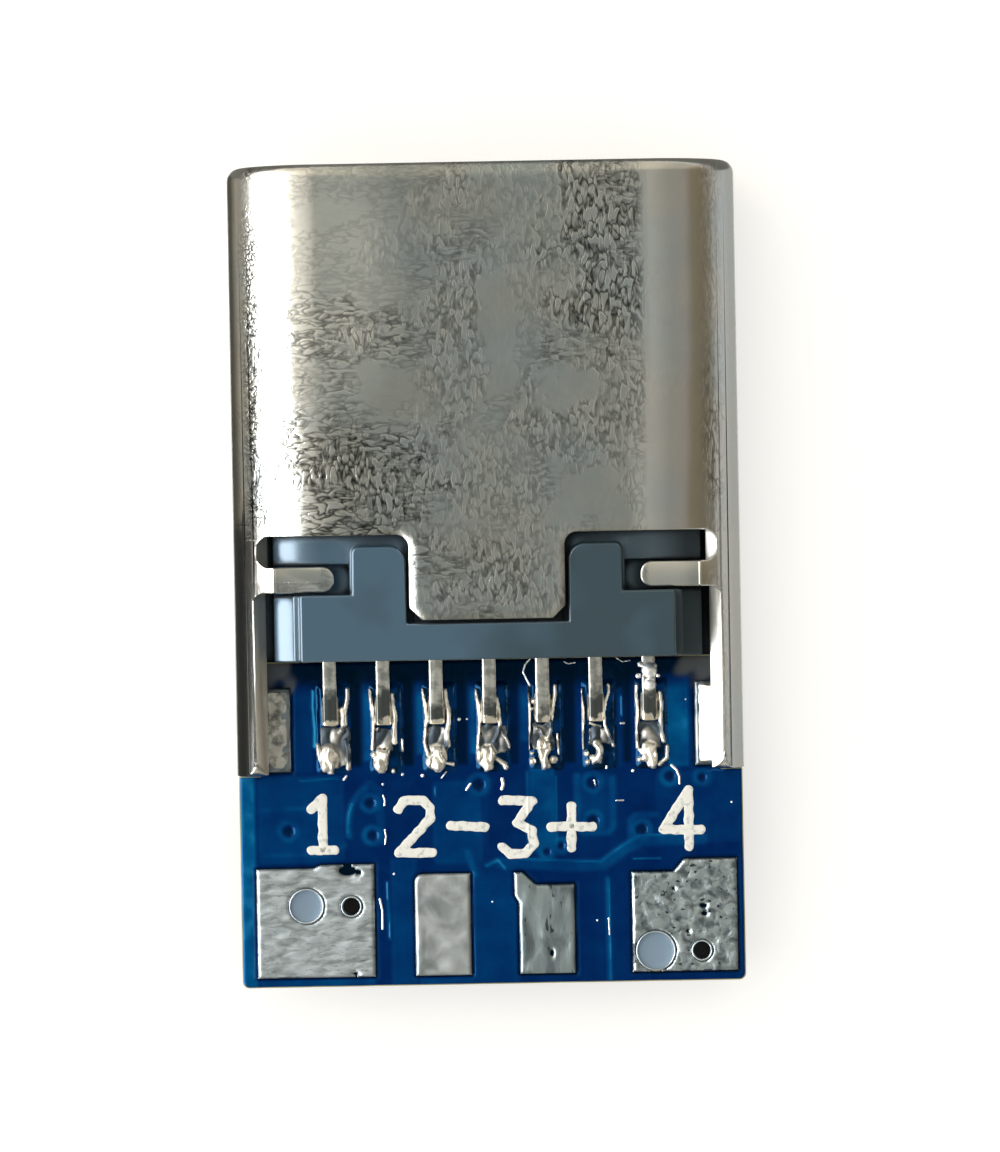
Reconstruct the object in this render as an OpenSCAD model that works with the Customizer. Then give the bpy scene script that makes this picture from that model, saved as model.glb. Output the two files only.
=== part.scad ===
// Reversible-plug receptacle clamped on a small board with four wire pads a side.
// Millimetres. +X is the width, +Y runs towards the mouth, +Z is up.
// z = 0 is the underside of the shell, and the origin is the centre of the base.
// A place given as "back" is a distance behind the mouth, and heights are from the mid-plane.

/* [Shell] */
// Outside width of the shell
shell_w = 8.94; // [8.9:0.01:9.0]
// Outside height of the shell
shell_h = 3.16; // [3.12:0.01:3.2]
// Thickness of the shell's sheet
shell_t = 0.3; // [0.28:0.01:0.32]
// Radius on the outer edge of the mouth
mouth_r = 0.22; // [0.15:0.01:0.23]
// Chamfer that leads a plug into the mouth
lead_in = 0.04; // [0.02:0.01:0.05]
// Distance from the tails' tips to the rear end of the two wings
wing_margin = 0.86; // [0.7:0.01:1.1]
// Angle from the vertical at which the wings' cut edges cross the sheet
wing_angle = 50.4; // [49:0.2:52]
// Radius on the wings' rear corners
wing_corner_r = 0.3; // [0.1:0.05:0.5]
// Radius where a wing's edge runs into the root of a locking tab
wing_root_r = 0.2; // [0.1:0.02:0.24]
// Front edge of the top and bottom windows, back
window_front = 6.5; // [6.4:0.05:6.6]
// Radius in the windows' front corners
window_r = 0.22; // [0.15:0.01:0.25]
// Distance from the shell's sides to the slots' outer ends
slot_inset = 0.44; // [0.43:0.01:0.47]
// Angle from the vertical at which the slots' outer ends cross the sheet
slot_angle = 47; // [46.8:0.2:48]
// Width of the slot in front of each locking tab
slot_w = 0.54; // [0.5:0.01:0.56]
// Width of a locking tab
tab_w = 0.45; // [0.4:0.01:0.46]
// Gap between a horn of the moulding and the tip of a locking tab
tip_gap = 0.32; // [0.26:0.01:0.4]
// Distance from the shell's sides to the bend of a locking tab
bend_inset = 0.75; // [0.72:0.01:0.82]
// Radius on the corners of a tab's tip
tab_tip_r = 0.2; // [0.1:0.01:0.2]
// Half-width of the tongue of sheet between the window's two halves
web_half_w = 1.36; // [1.3:0.01:1.4]
// Length of that tongue of sheet
web_l = 1.5; // [1.3:0.05:1.6]
// Chamfer on its corners
web_chamfer = 0.22; // [0.1:0.01:0.3]

/* [Moulding] */
// Clearance between the moulding's shoulders and the shell
body_gap = 0.05; // [0.03:0.01:0.08]
// Distance from the shell's sides to the moulding's sides
body_inset = 0.72; // [0.67:0.01:0.77]
// How far the body reaches in front of the window
body_lead = 0.3; // [0.2:0.05:0.4]
// How far the crown in the window stays below the shell's face
crown_recess = 0.08; // [0.03:0.01:0.15]
// Distance from the moulding's sides to the ends of the crown's rear bar
crown_inset = 0.47; // [0.4:0.01:0.55]
// Length of that bar behind the tongue of sheet
bar_l = 0.64; // [0.5:0.01:0.8]
// Width of the low step along each end of that bar
crown_step_w = 0.13; // [0.08:0.01:0.15]
// Height of that step above the body
crown_step_h = 0.1; // [0.05:0.01:0.15]
// Gap between a locking tab and the crown's rear bar
tab_gap = 0.05; // [0.03:0.01:0.08]
// Gap between the tongue of sheet and the crown
web_gap = 0.06; // [0.03:0.01:0.08]
// Width of each of the crown's two horns
horn_w = 0.94; // [0.9:0.01:0.98]
// Gap between the window's front edge and a horn
horn_gap = 0.2; // [0.15:0.01:0.25]
// Radius on the horns' inner front corner
horn_in_r = 0.3; // [0.2:0.01:0.35]
// Radius on the horns' outer front corner
horn_out_r = 0.12; // [0.08:0.01:0.2]
// Room around a locking tab in its pocket
pocket_room = 0.04; // [0.03:0.01:0.06]
// Room below a locking tab in its pocket
pocket_depth = 0.26; // [0.2:0.01:0.28]
// Room for a plug's wall on each side of the insulating tongue
plug_room = 0.825; // [0.8:0.005:0.87]
// Thickness of the insulating tongue
tongue_t = 0.7; // [0.68:0.01:0.72]
// Tip of the insulating tongue, back
tongue_tip = 0.8; // [0.7:0.05:1]
// Chamfer on the tongue's top and bottom tip edges
tongue_chamfer = 0.12; // [0.05:0.01:0.15]
// Radius on the tongue's tip corners in plan
tongue_r = 0.3; // [0.2:0.05:0.4]
// Length of the thicker root of the tongue
root_l = 0.8; // [0.6:0.05:1]
// Distance from the moulding's sides to that root's sides
root_inset = 0.1; // [0.05:0.01:0.15]
// Height of that root
root_z = 0.62; // [0.61:0.01:0.8]

/* [Middle plate] */
// How far the plate stands out of the tongue's sides
plate_proud = 0.05; // [0.02:0.01:0.08]
// Thickness of the plate
plate_t = 0.15; // [0.1:0.01:0.15]
// Distance from the tongue's tip to the plate
plate_setback = 0.6; // [0.5:0.05:0.8]
// Distance from the body's rear face to the plate
plate_cover = 0.4; // [0.3:0.05:0.6]
// Front of the latch notches, back
latch_front = 2.7; // [2.5:0.05:2.9]
// Length of the latch notches
latch_l = 0.95; // [0.8:0.05:1.1]
// Depth of the latch notches from the tongue's sides
latch_depth = 0.4; // [0.3:0.01:0.42]

/* [Contacts] */
// Width of a contact
contact_w = 0.25; // [0.22:0.01:0.28]
// Thickness of a contact
contact_t = 0.15; // [0.12:0.01:0.15]
// Distance from the tongue's sides to the middle of the outermost contacts
grid_margin = 0.595; // [0.57:0.005:0.62]
// Length of the solder tails behind the body
tail_l = 1.14; // [1:0.01:1.2]
// Distance from the tongue's tip to the contacts
blade_setback = 0.45; // [0.3:0.05:0.6]
// How far the contacts stand above the tongue
blade_proud = 0.02; // [0.01:0.01:0.03]
// Distance from the body's front face to the step up to the tails
step_setback = 0.5; // [0.4:0.05:0.6]
// Distance from the body's rear face to the end of the sideways fan
fan_setback = 0.6; // [0.4:0.05:0.8]

/* [Board] */
// Thickness of the board
board_t = 0.8; // [0.78:0.01:0.8]
// How far the sides of the board's rear part stay inside the shell's sides
board_inset = 0.04; // [0.01:0.01:0.05]
// Clearance between the board's neck and the wings
neck_gap = 0.04; // [0.03:0.01:0.06]
// Length of the board behind the wings
rear_l = 3.73; // [3.7:0.01:4.1]
// Radius on the board's rear corners
board_r = 0.12; // [0.05:0.01:0.15]
// Thickness of the copper and tin on the pads
pad_t = 0.05; // [0.03:0.01:0.06]
// Sideways shift of the copper pattern from the receptacle's axis
pattern_shift = 0.05; // [0:0.01:0.05]
// Width of a contact pad
contact_pad_w = 0.56; // [0.5:0.01:0.6]
// Distance from the body's rear face to the contact and shell pads
pads_setback = 0.45; // [0.4:0.01:0.5]
// Distance from those pads' rear edge to the wings' end
pads_margin = 0.06; // [0.02:0.01:0.1]
// Mean width of the shell pads
shell_pad_w = 0.498; // [0.45:0.001:0.55]
// Gap between the shell pads and the outermost contact pads
shell_pad_gap = 0.465; // [0.4:0.005:0.5]

/* [Wire pads] */
// Distance from the wire pads to the board's rear edge
edge_margin = 0.17; // [0.1:0.01:0.25]
// Distances from the board's two sides to the wire pads
side_margins = [0.275, 0.13]; // [0.1:0.005:0.3]
// Widths of the four wire pads
wire_pad_w = [2.075, 0.985, 0.985, 1.86]; // [0.9:0.005:2.2]
// Shares of the room between the wire pads, from the first pad to the fourth
gap_shares = [0.705, 0.845, 1]; // [0.5:0.005:1.2]
// Length of the first pad
pad_1_l = 1.98; // [1.9:0.01:2.1]
// Place and depth of the step in its front edge
pad_1_step = [1.075, 0.06]; // [0.05:0.005:1.2]
// Length of the second pad
pad_2_l = 1.79; // [1.7:0.01:1.9]
// Radius on its cut corner
pad_2_r = 0.14; // [0.05:0.01:0.2]
// Length of the third pad without its ear
pad_3_l = 1.57; // [1.5:0.01:1.65]
// Width of the ear on its inner front corner
ear_w = 0.154; // [0.12:0.001:0.2]
// How far the ear stands out sideways
ear_out = 0.08; // [0.05:0.01:0.1]
// How far the ear stands out to the front
ear_l = 0.22; // [0.15:0.01:0.25]
// Length of the ear's straight side
ear_side = 0.4; // [0.3:0.01:0.5]
// Run of the ear's two slopes
ear_slope = [0.14, 0.23]; // [0.1:0.01:0.3]
// Length of the fourth pad
pad_4_l = 1.98; // [1.9:0.01:2.1]
// Place, depth and run of the step in its front edge
pad_4_step = [0.74, 0.22, 0.19]; // [0.1:0.01:0.9]
// Large hole in the first pad: distances from the pad's left and rear edge, and radius
hole_1 = [0.875, 1.26, 0.28]; // [0.2:0.005:1.5]
// Small hole in the first pad
hole_2 = [1.665, 1.24, 0.155]; // [0.1:0.005:1.9]
// Large hole in the fourth pad
hole_3 = [0.41, 0.37, 0.32]; // [0.3:0.005:1.5]
// Small hole in the fourth pad
hole_4 = [1.22, 0.36, 0.155]; // [0.1:0.005:1.7]
// Wall thickness of the holes' plating
plating_t = 0.03; // [0.02:0.005:0.03]

/* [Solder] */
// Peak height of a contact's solder above its pad
solder_h = 0.26; // [0.2:0.01:0.3]
// Height of the solder beside a tail, above its pad
fillet_h = 0.11; // [0.08:0.01:0.11]
// Inset of the solder from the pad's edges
solder_inset = 0.02; // [0.01:0.005:0.03]
// Length of the slope at the front of a contact's solder
solder_run = 0.2; // [0.15:0.01:0.25]
// Length of the hump past a tail's tip
hump_l = 0.42; // [0.3:0.01:0.45]
// Height to which the solder climbs a wing
wing_solder_z = 0.74; // [0.7:0.01:0.78]
// Inset of a wing's solder from its pad's sides
wing_solder_inset = 0.06; // [0.03:0.01:0.1]

/* [Hidden] */
steel = [0.6, 0.6, 0.57];
black_plastic = [0.26, 0.33, 0.39];
plated_bronze = [0.78, 0.74, 0.64];
blue_mask = [0, 0.24, 0.45];
tin = [0.66, 0.67, 0.64];
bright_solder = [0.82, 0.8, 0.74];

side_x = shell_w / 2;
mid_z = shell_h / 2;
outer_r = shell_h / 2;
inner_r = outer_r - shell_t;
flat_half = side_x - outer_r;
wing_edge_x = flat_half + outer_r * sin(wing_angle);
wing_edge_z = outer_r * cos(wing_angle);
slot_reach = side_x - slot_inset;
slot_rear = window_front + slot_w;
tab_rear = slot_rear + tab_w;
tab_bend = side_x - bend_inset;
tab_lap = 0.04;
tab_top = arc_height(outer_r, tab_bend + tab_lap) - 0.01;
bar_front = tab_rear + tab_gap;
web_end = window_front + web_l;

body_front = window_front - body_lead;
body_rear = max(web_end + web_gap, bar_front) + bar_l;
body_half_w = side_x - body_inset;
body_r = inner_r - body_gap;
crown_half_w = body_half_w - crown_inset;
crown_z = outer_r - crown_recess;
seat_half_w = web_half_w - web_gap;
horn_in = web_half_w + web_gap;
horn_out = horn_in + horn_w;
horn_front = window_front + horn_gap;
tab_tip = horn_out + tip_gap;
pocket_z = tab_top - shell_t - pocket_depth;
root_front = body_front - root_l;
root_half_w = body_half_w - root_inset;
tongue_half_w = side_x - shell_t - plug_room;
plate_half_w = tongue_half_w + plate_proud;

blade_front = tongue_tip + blade_setback;
blade_top = tongue_t / 2 + blade_proud;
step_y = body_front + step_setback;
fan_rear = body_rear - fan_setback;
tail_tip = body_rear + tail_l;
wing_end = tail_tip + wing_margin;
board_end = wing_end + rear_l;
half_length = board_end / 2;

// Places of the contacts on the tongue, in steps of the grid
grid_places = [-5.5, -2.5, -1.5, -0.5, 0.5, 2.5, 5.5];
contacts = len(grid_places);
grid_pitch = (tongue_half_w - grid_margin) / grid_places[contacts - 1];

board_half_w = side_x - board_inset;
pad_z = board_t / 2;
tail_z = pad_z + pad_t;
neck_half_w = flat_half + sqrt(inner_r * inner_r - tail_z * tail_z) - neck_gap;
shell_pad_in = neck_half_w - shell_pad_w;
tail_pitch = (shell_pad_in - shell_pad_gap - contact_pad_w / 2) / ((contacts - 1) / 2);
pads_front = body_rear + pads_setback;
pads_rear = wing_end - pads_margin;

wire_end = board_end - edge_margin;
gap_unit = (2 * board_half_w - total(side_margins) - total(wire_pad_w)) / total(gap_shares);
pad_1_x = side_margins[0] - board_half_w;
pad_2_x = pad_1_x + wire_pad_w[0] + gap_shares[0] * gap_unit;
pad_3_x = pad_2_x + wire_pad_w[1] + gap_shares[1] * gap_unit;
pad_4_x = pad_3_x + wire_pad_w[2] + gap_shares[2] * gap_unit;
holes = [
    [pad_1_x + hole_1[0], hole_1[1], hole_1[2]],
    [pad_1_x + hole_2[0], hole_2[1], hole_2[2]],
    [pad_4_x + hole_3[0], hole_3[1], hole_3[2]],
    [pad_4_x + hole_4[0], hole_4[1], hole_4[2]]
];

// Shares of the fillet's half-width and height: a concave solder flank
flank = [[1, 0], [0.82, 0.09], [0.64, 0.22], [0.48, 0.42], [0.36, 0.66], [0.22, 0.88], [0.08, 1]];
// Shares of the hump's length, from its rear end, and height
hump = [[0, 0.1], [0.14, 0.5], [0.43, 0.88], [0.71, 0.97], [1, 0.8]];

far = board_end + 1;
over = 1;
sliver = 0.01;
$fn = 64;

function back(d) = half_length - d;
function arc_height(r, x) = sqrt(r * r - pow(x - flat_half, 2));
function tongue_x(i) = grid_places[i] * grid_pitch;
function tail_x(i) = (i - (contacts - 1) / 2) * tail_pitch;
function total(list) = list * [for (value = list) 1];

// Puts a module drawn about the mid-plane at its height in the part.
module at_mid() {
    translate([0, 0, mid_z]) children();
}

module both_faces() {
    children();
    mirror([0, 0, 1]) children();
}

module both_sides() {
    children();
    mirror([1, 0, 0]) children();
}

module other_way_up() {
    rotate([0, 180, 0]) children();
}

// A plan outline, in x and y, raised between two heights.
module slab(z0, z1) {
    translate([0, 0, z0]) linear_extrude(z1 - z0) children();
}

// A box between two half-distances, two distances behind the mouth and two heights.
module block(x0, x1, d0, d1, z0, z1) {
    translate([x0, back(d1), z0]) cube([x1 - x0, d1 - d0, z1 - z0]);
}

// A rectangle in plan between two x and two distances behind the mouth.
module patch(x0, x1, d0, d1) {
    translate([x0, back(d1)]) square([x1 - x0, d1 - d0]);
}

// ---- shell

// Section of the wall: x is the distance from the end circle's centre, y runs to the mouth.
module wall_section() {
    difference() {
        translate([inner_r, 0]) square([shell_t, wing_end]);
        difference() {
            translate([outer_r - mouth_r, wing_end - mouth_r]) square([over, over]);
            translate([outer_r - mouth_r, wing_end - mouth_r]) circle(mouth_r);
        }
        polygon([
            [inner_r - sliver, wing_end - lead_in - sliver],
            [inner_r + lead_in + sliver, wing_end + sliver],
            [inner_r - sliver, wing_end + sliver]
        ]);
    }
}

module shell_tube() {
    translate([0, back(wing_end), 0]) {
        both_sides()
            translate([flat_half, 0, 0]) rotate([-90, 0, 0]) rotate([0, 0, -90])
                rotate_extrude(angle = 180) wall_section();
        both_faces()
            translate([flat_half, 0, 0]) rotate([0, -90, 0])
                linear_extrude(2 * flat_half) wall_section();
    }
}

// Right half of the slot in front of the locking tab, in plan.
module slot_outline() {
    difference() {
        patch(web_half_w, slot_reach, window_front, slot_rear);
        difference() {
            patch(
                web_half_w - sliver, web_half_w + window_r,
                window_front - sliver, window_front + window_r
            );
            translate([web_half_w + window_r, back(window_front + window_r)]) circle(window_r);
        }
        difference() {
            patch(slot_reach - window_r, slot_reach + sliver, window_front - sliver, slot_rear + sliver);
            translate([slot_reach - window_r, back(window_front + window_r)]) circle(window_r);
            translate([slot_reach - window_r, back(slot_rear - window_r)]) circle(window_r);
            patch(
                slot_reach - window_r - sliver, slot_reach,
                window_front + window_r, slot_rear - window_r
            );
        }
    }
}

// Right half of the opening between the web and the wings' edges, in plan.
module wings_outline() {
    edge_x = wing_edge_x + sliver;
    difference() {
        patch(web_half_w, edge_x, tab_rear, far);
        difference() {
            patch(
                edge_x - wing_root_r, edge_x + sliver,
                tab_rear - sliver, tab_rear + wing_root_r
            );
            translate([edge_x - wing_root_r, back(tab_rear + wing_root_r)]) circle(wing_root_r);
        }
    }
}

// Space above a plane that runs square through the curved sheet at an angle from the vertical.
module above_cut(angle, d0, d1) {
    translate([0, back(d0), 0]) rotate([90, 0, 0]) linear_extrude(d1 - d0)
        polygon([
            [web_half_w - sliver, inner_r / 2],
            [flat_half + inner_r / 2 * tan(angle), inner_r / 2],
            [flat_half + shell_w * sin(angle), shell_w * cos(angle)],
            [web_half_w - sliver, shell_w * cos(angle)]
        ]);
}

// Everything that the window removes from the upper right quarter of the tube.
module window_cut() {
    intersection() {
        slab(inner_r / 2, outer_r + over) slot_outline();
        above_cut(slot_angle, window_front - sliver, slot_rear + sliver);
    }
    block(web_half_w, tab_bend, slot_rear - sliver, bar_front + sliver, 0, outer_r + over);
    intersection() {
        slab(inner_r / 2, outer_r + over) wings_outline();
        above_cut(wing_angle, tab_rear - sliver, far + sliver);
    }
}

// Right half of the cut that shortens and chamfers the tongue of sheet, in plan.
module web_cut() {
    slab(inner_r / 2, outer_r + over)
        polygon([
            [-sliver, back(web_end)],
            [web_half_w - web_chamfer, back(web_end)],
            [web_half_w + sliver, back(web_end - web_chamfer - sliver)],
            [web_half_w + sliver, back(far)],
            [-sliver, back(far)]
        ]);
}

// Rounds the rear corners of the wings, seen from the side.
module wing_corner_cut() {
    corner_z = wing_edge_z - wing_corner_r;
    corner_d = wing_end - wing_corner_r;
    difference() {
        block(-shell_w, shell_w, corner_d, wing_end + sliver, corner_z, wing_edge_z + sliver);
        translate([0, back(corner_d), corner_z]) rotate([0, 90, 0])
            cylinder(r = wing_corner_r, h = 3 * shell_w, center = true);
    }
}

// Bent-down finger of sheet that locks the moulding.
module locking_tab() {
    slab(tab_top - shell_t, tab_top) {
        patch(tab_tip + tab_tip_r, tab_bend + tab_lap, slot_rear, tab_rear);
        patch(tab_tip, tab_tip + tab_tip_r + sliver, slot_rear + tab_tip_r, tab_rear - tab_tip_r);
        translate([tab_tip + tab_tip_r, back(slot_rear + tab_tip_r)]) circle(tab_tip_r);
        translate([tab_tip + tab_tip_r, back(tab_rear - tab_tip_r)]) circle(tab_tip_r);
    }
}

module shell() {
    color(steel) at_mid() {
        difference() {
            shell_tube();
            both_faces() both_sides() window_cut();
            both_faces() both_sides() web_cut();
            both_faces() wing_corner_cut();
        }
        both_faces() both_sides() locking_tab();
    }
}

// ---- moulding

module core_outline() {
    intersection() {
        union() {
            square([2 * flat_half, 2 * body_r], center = true);
            translate([flat_half, 0]) circle(body_r);
            translate([-flat_half, 0]) circle(body_r);
        }
        square([2 * body_half_w, 4 * body_r], center = true);
    }
}

module core() {
    translate([0, back(body_front), 0]) rotate([90, 0, 0])
        linear_extrude(body_rear - body_front) core_outline();
    block(-seat_half_w, seat_half_w, body_front, body_rear, -inner_r, inner_r);
}

// Right half of the crown, in plan.
module crown_outline() {
    patch(-sliver, crown_half_w, body_rear - bar_l, body_rear);
    patch(horn_in, crown_half_w, bar_front, body_rear);
    difference() {
        patch(horn_in, horn_out, horn_front, bar_front + sliver);
        difference() {
            patch(horn_in - sliver, horn_in + horn_in_r, horn_front - sliver, horn_front + horn_in_r);
            translate([horn_in + horn_in_r, back(horn_front + horn_in_r)]) circle(horn_in_r);
        }
        difference() {
            patch(horn_out - horn_out_r, horn_out + sliver, horn_front - sliver, horn_front + horn_out_r);
            translate([horn_out - horn_out_r, back(horn_front + horn_out_r)]) circle(horn_out_r);
        }
    }
}

// Right half of the crown on one face: horns and rear bar, with a low step along the bar's end.
module crown() {
    slab(body_r - body_gap, crown_z) crown_outline();
    slab(body_r - body_gap, body_r + crown_step_h)
        patch(crown_half_w - sliver, crown_half_w + crown_step_w, bar_front, body_rear);
}

module insulating_tongue() {
    side = tongue_half_w;
    half_t = tongue_t / 2;
    intersection() {
        slab(-half_t, half_t) difference() {
            patch(-side, side, tongue_tip, body_front + sliver);
            both_sides() difference() {
                patch(side - tongue_r, side + sliver, tongue_tip - sliver, tongue_tip + tongue_r);
                translate([side - tongue_r, back(tongue_tip + tongue_r)]) circle(tongue_r);
            }
        }
        translate([-shell_w / 2, 0, 0]) rotate([90, 0, 90]) linear_extrude(shell_w)
            polygon([
                [back(tongue_tip), half_t - tongue_chamfer],
                [back(tongue_tip + tongue_chamfer), half_t],
                [back(body_front + over), half_t],
                [back(body_front + over), -half_t],
                [back(tongue_tip + tongue_chamfer), -half_t],
                [back(tongue_tip), -half_t + tongue_chamfer]
            ]);
    }
}

module latch_cut() {
    both_sides()
        block(tongue_half_w - latch_depth, side_x, latch_front, latch_front + latch_l, -over, over);
}

module insulator() {
    color(black_plastic) at_mid() difference() {
        union() {
            core();
            both_faces() both_sides() crown();
            insulating_tongue();
            block(-root_half_w, root_half_w, root_front, body_front + sliver, -root_z, root_z);
        }
        both_faces() both_sides()
            block(
                horn_out + pocket_room, shell_w,
                slot_rear - pocket_room, bar_front,
                pocket_z, outer_r
            );
        latch_cut();
        plate_body();
        for (i = [0 : contacts - 1]) {
            contact_body(i);
            other_way_up() contact_body(i);
        }
    }
}

// ---- middle plate

module plate_body() {
    difference() {
        block(
            -plate_half_w, plate_half_w,
            tongue_tip + plate_setback, body_rear - plate_cover,
            -plate_t / 2, plate_t / 2
        );
        latch_cut();
    }
}

module middle_plate() {
    color(steel) at_mid() plate_body();
}

// ---- contacts

// A blade on the tongue, a step up inside the moulding, and a fanned-out arm with its tail.
module contact_body(i) {
    xt = tongue_x(i);
    xq = tail_x(i);
    w = contact_w / 2;
    step_front = step_y - contact_t / 2;
    step_rear = step_y + contact_t / 2;
    fan_front = step_rear + contact_t;
    block(xt - w, xt + w, blade_front, step_rear, blade_top - contact_t, blade_top);
    block(xt - w, xt + w, step_front, step_rear, blade_top - contact_t, tail_z + contact_t);
    slab(tail_z, tail_z + contact_t) polygon([
        [xt - w, back(step_front)],
        [xt - w, back(fan_front)],
        [xq - w, back(fan_rear)],
        [xq - w, back(tail_tip)],
        [xq + w, back(tail_tip)],
        [xq + w, back(fan_rear)],
        [xt + w, back(fan_front)],
        [xt + w, back(step_front)]
    ]);
}

module upper_contact(i) {
    color(plated_bronze) at_mid() contact_body(i);
}

module lower_contact(i) {
    color(plated_bronze) at_mid() other_way_up() contact_body(i);
}

// ---- board

module circuit_board() {
    color(blue_mask) at_mid() difference() {
        slab(-pad_z, pad_z) {
            patch(-neck_half_w, neck_half_w, body_rear, wing_end + sliver);
            difference() {
                patch(-board_half_w, board_half_w, wing_end, board_end);
                both_sides() difference() {
                    patch(
                        board_half_w - board_r, board_half_w + sliver,
                        board_end - board_r, board_end + sliver
                    );
                    translate([board_half_w - board_r, back(board_end - board_r)]) circle(board_r);
                }
            }
        }
        drilled();
    }
}

// Puts its children on the axis of a hole, which is placed from the wire pads' rear edge.
module at_hole(h) {
    translate([h[0], back(wire_end - h[1]), 0]) children();
}

module drilled() {
    for (h = holes)
        at_hole(h) cylinder(r = h[2] + plating_t, h = 4 * tail_z, center = true);
}

module plated_holes() {
    color(tin) at_mid() for (h = holes)
        at_hole(h) difference() {
            cylinder(r = h[2] + plating_t, h = 2 * tail_z, center = true);
            cylinder(r = h[2], h = 4 * tail_z, center = true);
        }
}

// First pad: its front edge steps forward towards the board's middle.
module pad_1_outline() {
    front = wire_end - pad_1_l;
    x = pad_1_x + pad_1_step[0];
    inner = pad_1_x + wire_pad_w[0];
    step = pad_1_step[1];
    polygon([
        [pad_1_x, back(wire_end)],
        [pad_1_x, back(front + step)],
        [x - step, back(front + step)],
        [x + step, back(front)],
        [inner, back(front)],
        [inner, back(wire_end)]
    ]);
}

// Second pad: one rounded corner.
module pad_2_outline() {
    x = pad_2_x;
    front = wire_end - pad_2_l;
    difference() {
        patch(x, x + wire_pad_w[1], front, wire_end);
        difference() {
            patch(x - sliver, x + pad_2_r, front - sliver, front + pad_2_r);
            translate([x + pad_2_r, back(front + pad_2_r)]) circle(pad_2_r);
        }
    }
}

// Third pad: an ear on its inner front corner.
module pad_3_outline() {
    x = pad_3_x;
    outer = x + wire_pad_w[2];
    front = wire_end - pad_3_l;
    ear_front = front - ear_l;
    polygon([
        [x, back(wire_end)],
        [x, back(ear_front + ear_side + ear_slope[0])],
        [x - ear_out, back(ear_front + ear_side)],
        [x - ear_out, back(ear_front)],
        [x - ear_out + ear_w, back(ear_front)],
        [x - ear_out + ear_w + ear_slope[1], back(front)],
        [outer, back(front)],
        [outer, back(wire_end)]
    ]);
}

// Fourth pad: its front edge steps forward towards the board's side.
module pad_4_outline() {
    front = wire_end - pad_4_l;
    x = pad_4_x + pad_4_step[0];
    outer = pad_4_x + wire_pad_w[3];
    polygon([
        [pad_4_x, back(wire_end)],
        [pad_4_x, back(front + pad_4_step[1])],
        [x, back(front + pad_4_step[1])],
        [x + pad_4_step[2], back(front)],
        [outer, back(front)],
        [outer, back(wire_end)]
    ]);
}

// One wire pad, drilled where a plated hole passes through it.
module tinned() {
    difference() {
        slab(pad_z, tail_z) children();
        drilled();
    }
}

module wire_pad(i) {
    if (i == 1) tinned() pad_1_outline();
    if (i == 2) tinned() pad_2_outline();
    if (i == 3) tinned() pad_3_outline();
    if (i == 4) tinned() pad_4_outline();
}

module top_wire_pad(i) {
    color(tin) at_mid() wire_pad(i);
}

module bottom_wire_pad(i) {
    color(tin) at_mid() mirror([0, 0, 1]) wire_pad(i);
}

module contact_pads() {
    w = contact_pad_w / 2;
    for (i = [0 : contacts - 1]) {
        x = tail_x(i) + pattern_shift;
        block(x - w, x + w, pads_front, pads_rear, pad_z, tail_z);
    }
}

module top_contact_pads() {
    color(tin) at_mid() contact_pads();
}

module bottom_contact_pads() {
    color(tin) at_mid() mirror([0, 0, 1]) contact_pads();
}

module shell_pads() {
    block(-neck_half_w, pattern_shift - shell_pad_in, pads_front, pads_rear, pad_z, tail_z);
    block(shell_pad_in + pattern_shift, neck_half_w, pads_front, pads_rear, pad_z, tail_z);
}

module top_shell_pads() {
    color(tin) at_mid() shell_pads();
}

module bottom_shell_pads() {
    color(tin) at_mid() mirror([0, 0, 1]) shell_pads();
}

// ---- solder

// Solder seen along the board: concave on both flanks of the tail.
module flank_outline(w) {
    polygon(concat(
        [for (p = flank) [p[0] * w, p[1] * solder_h]],
        [for (k = [len(flank) - 1 : -1 : 0]) [-flank[k][0] * w, flank[k][1] * solder_h]]
    ));
}

// Solder seen from the side: low beside the tail, over its tip and up into a hump.
module ridge_outline(front, rear) {
    over_tip = contact_t + 0.02;
    dip = contact_t - 0.01;
    polygon(concat(
        [
            [back(rear), -sliver],
            [back(front), -sliver],
            [back(front), 0.4 * fillet_h],
            [back(front + solder_run), fillet_h],
            [back(tail_tip - solder_run), fillet_h],
            [back(tail_tip + 0.02), over_tip],
            [back((tail_tip + rear - hump_l) / 2), dip]
        ],
        [for (k = [len(hump) - 1 : -1 : 0]) [back(rear - hump[k][0] * hump_l), hump[k][1] * solder_h]]
    ));
}

module contact_solder(i) {
    w = contact_pad_w / 2 - solder_inset;
    front = pads_front + solder_inset;
    rear = pads_rear - solder_inset;
    x = tail_x(i) + pattern_shift;
    difference() {
        intersection() {
            translate([x, back(front), tail_z]) rotate([90, 0, 0])
                linear_extrude(rear - front) flank_outline(w);
            translate([x - w, 0, tail_z]) rotate([90, 0, 90])
                linear_extrude(2 * w) ridge_outline(front, rear);
        }
        contact_body(i);
    }
}

module upper_solder(i) {
    color(bright_solder) at_mid() contact_solder(i);
}

module lower_solder(i) {
    color(bright_solder) at_mid() mirror([0, 0, 1]) contact_solder(i);
}

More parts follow.
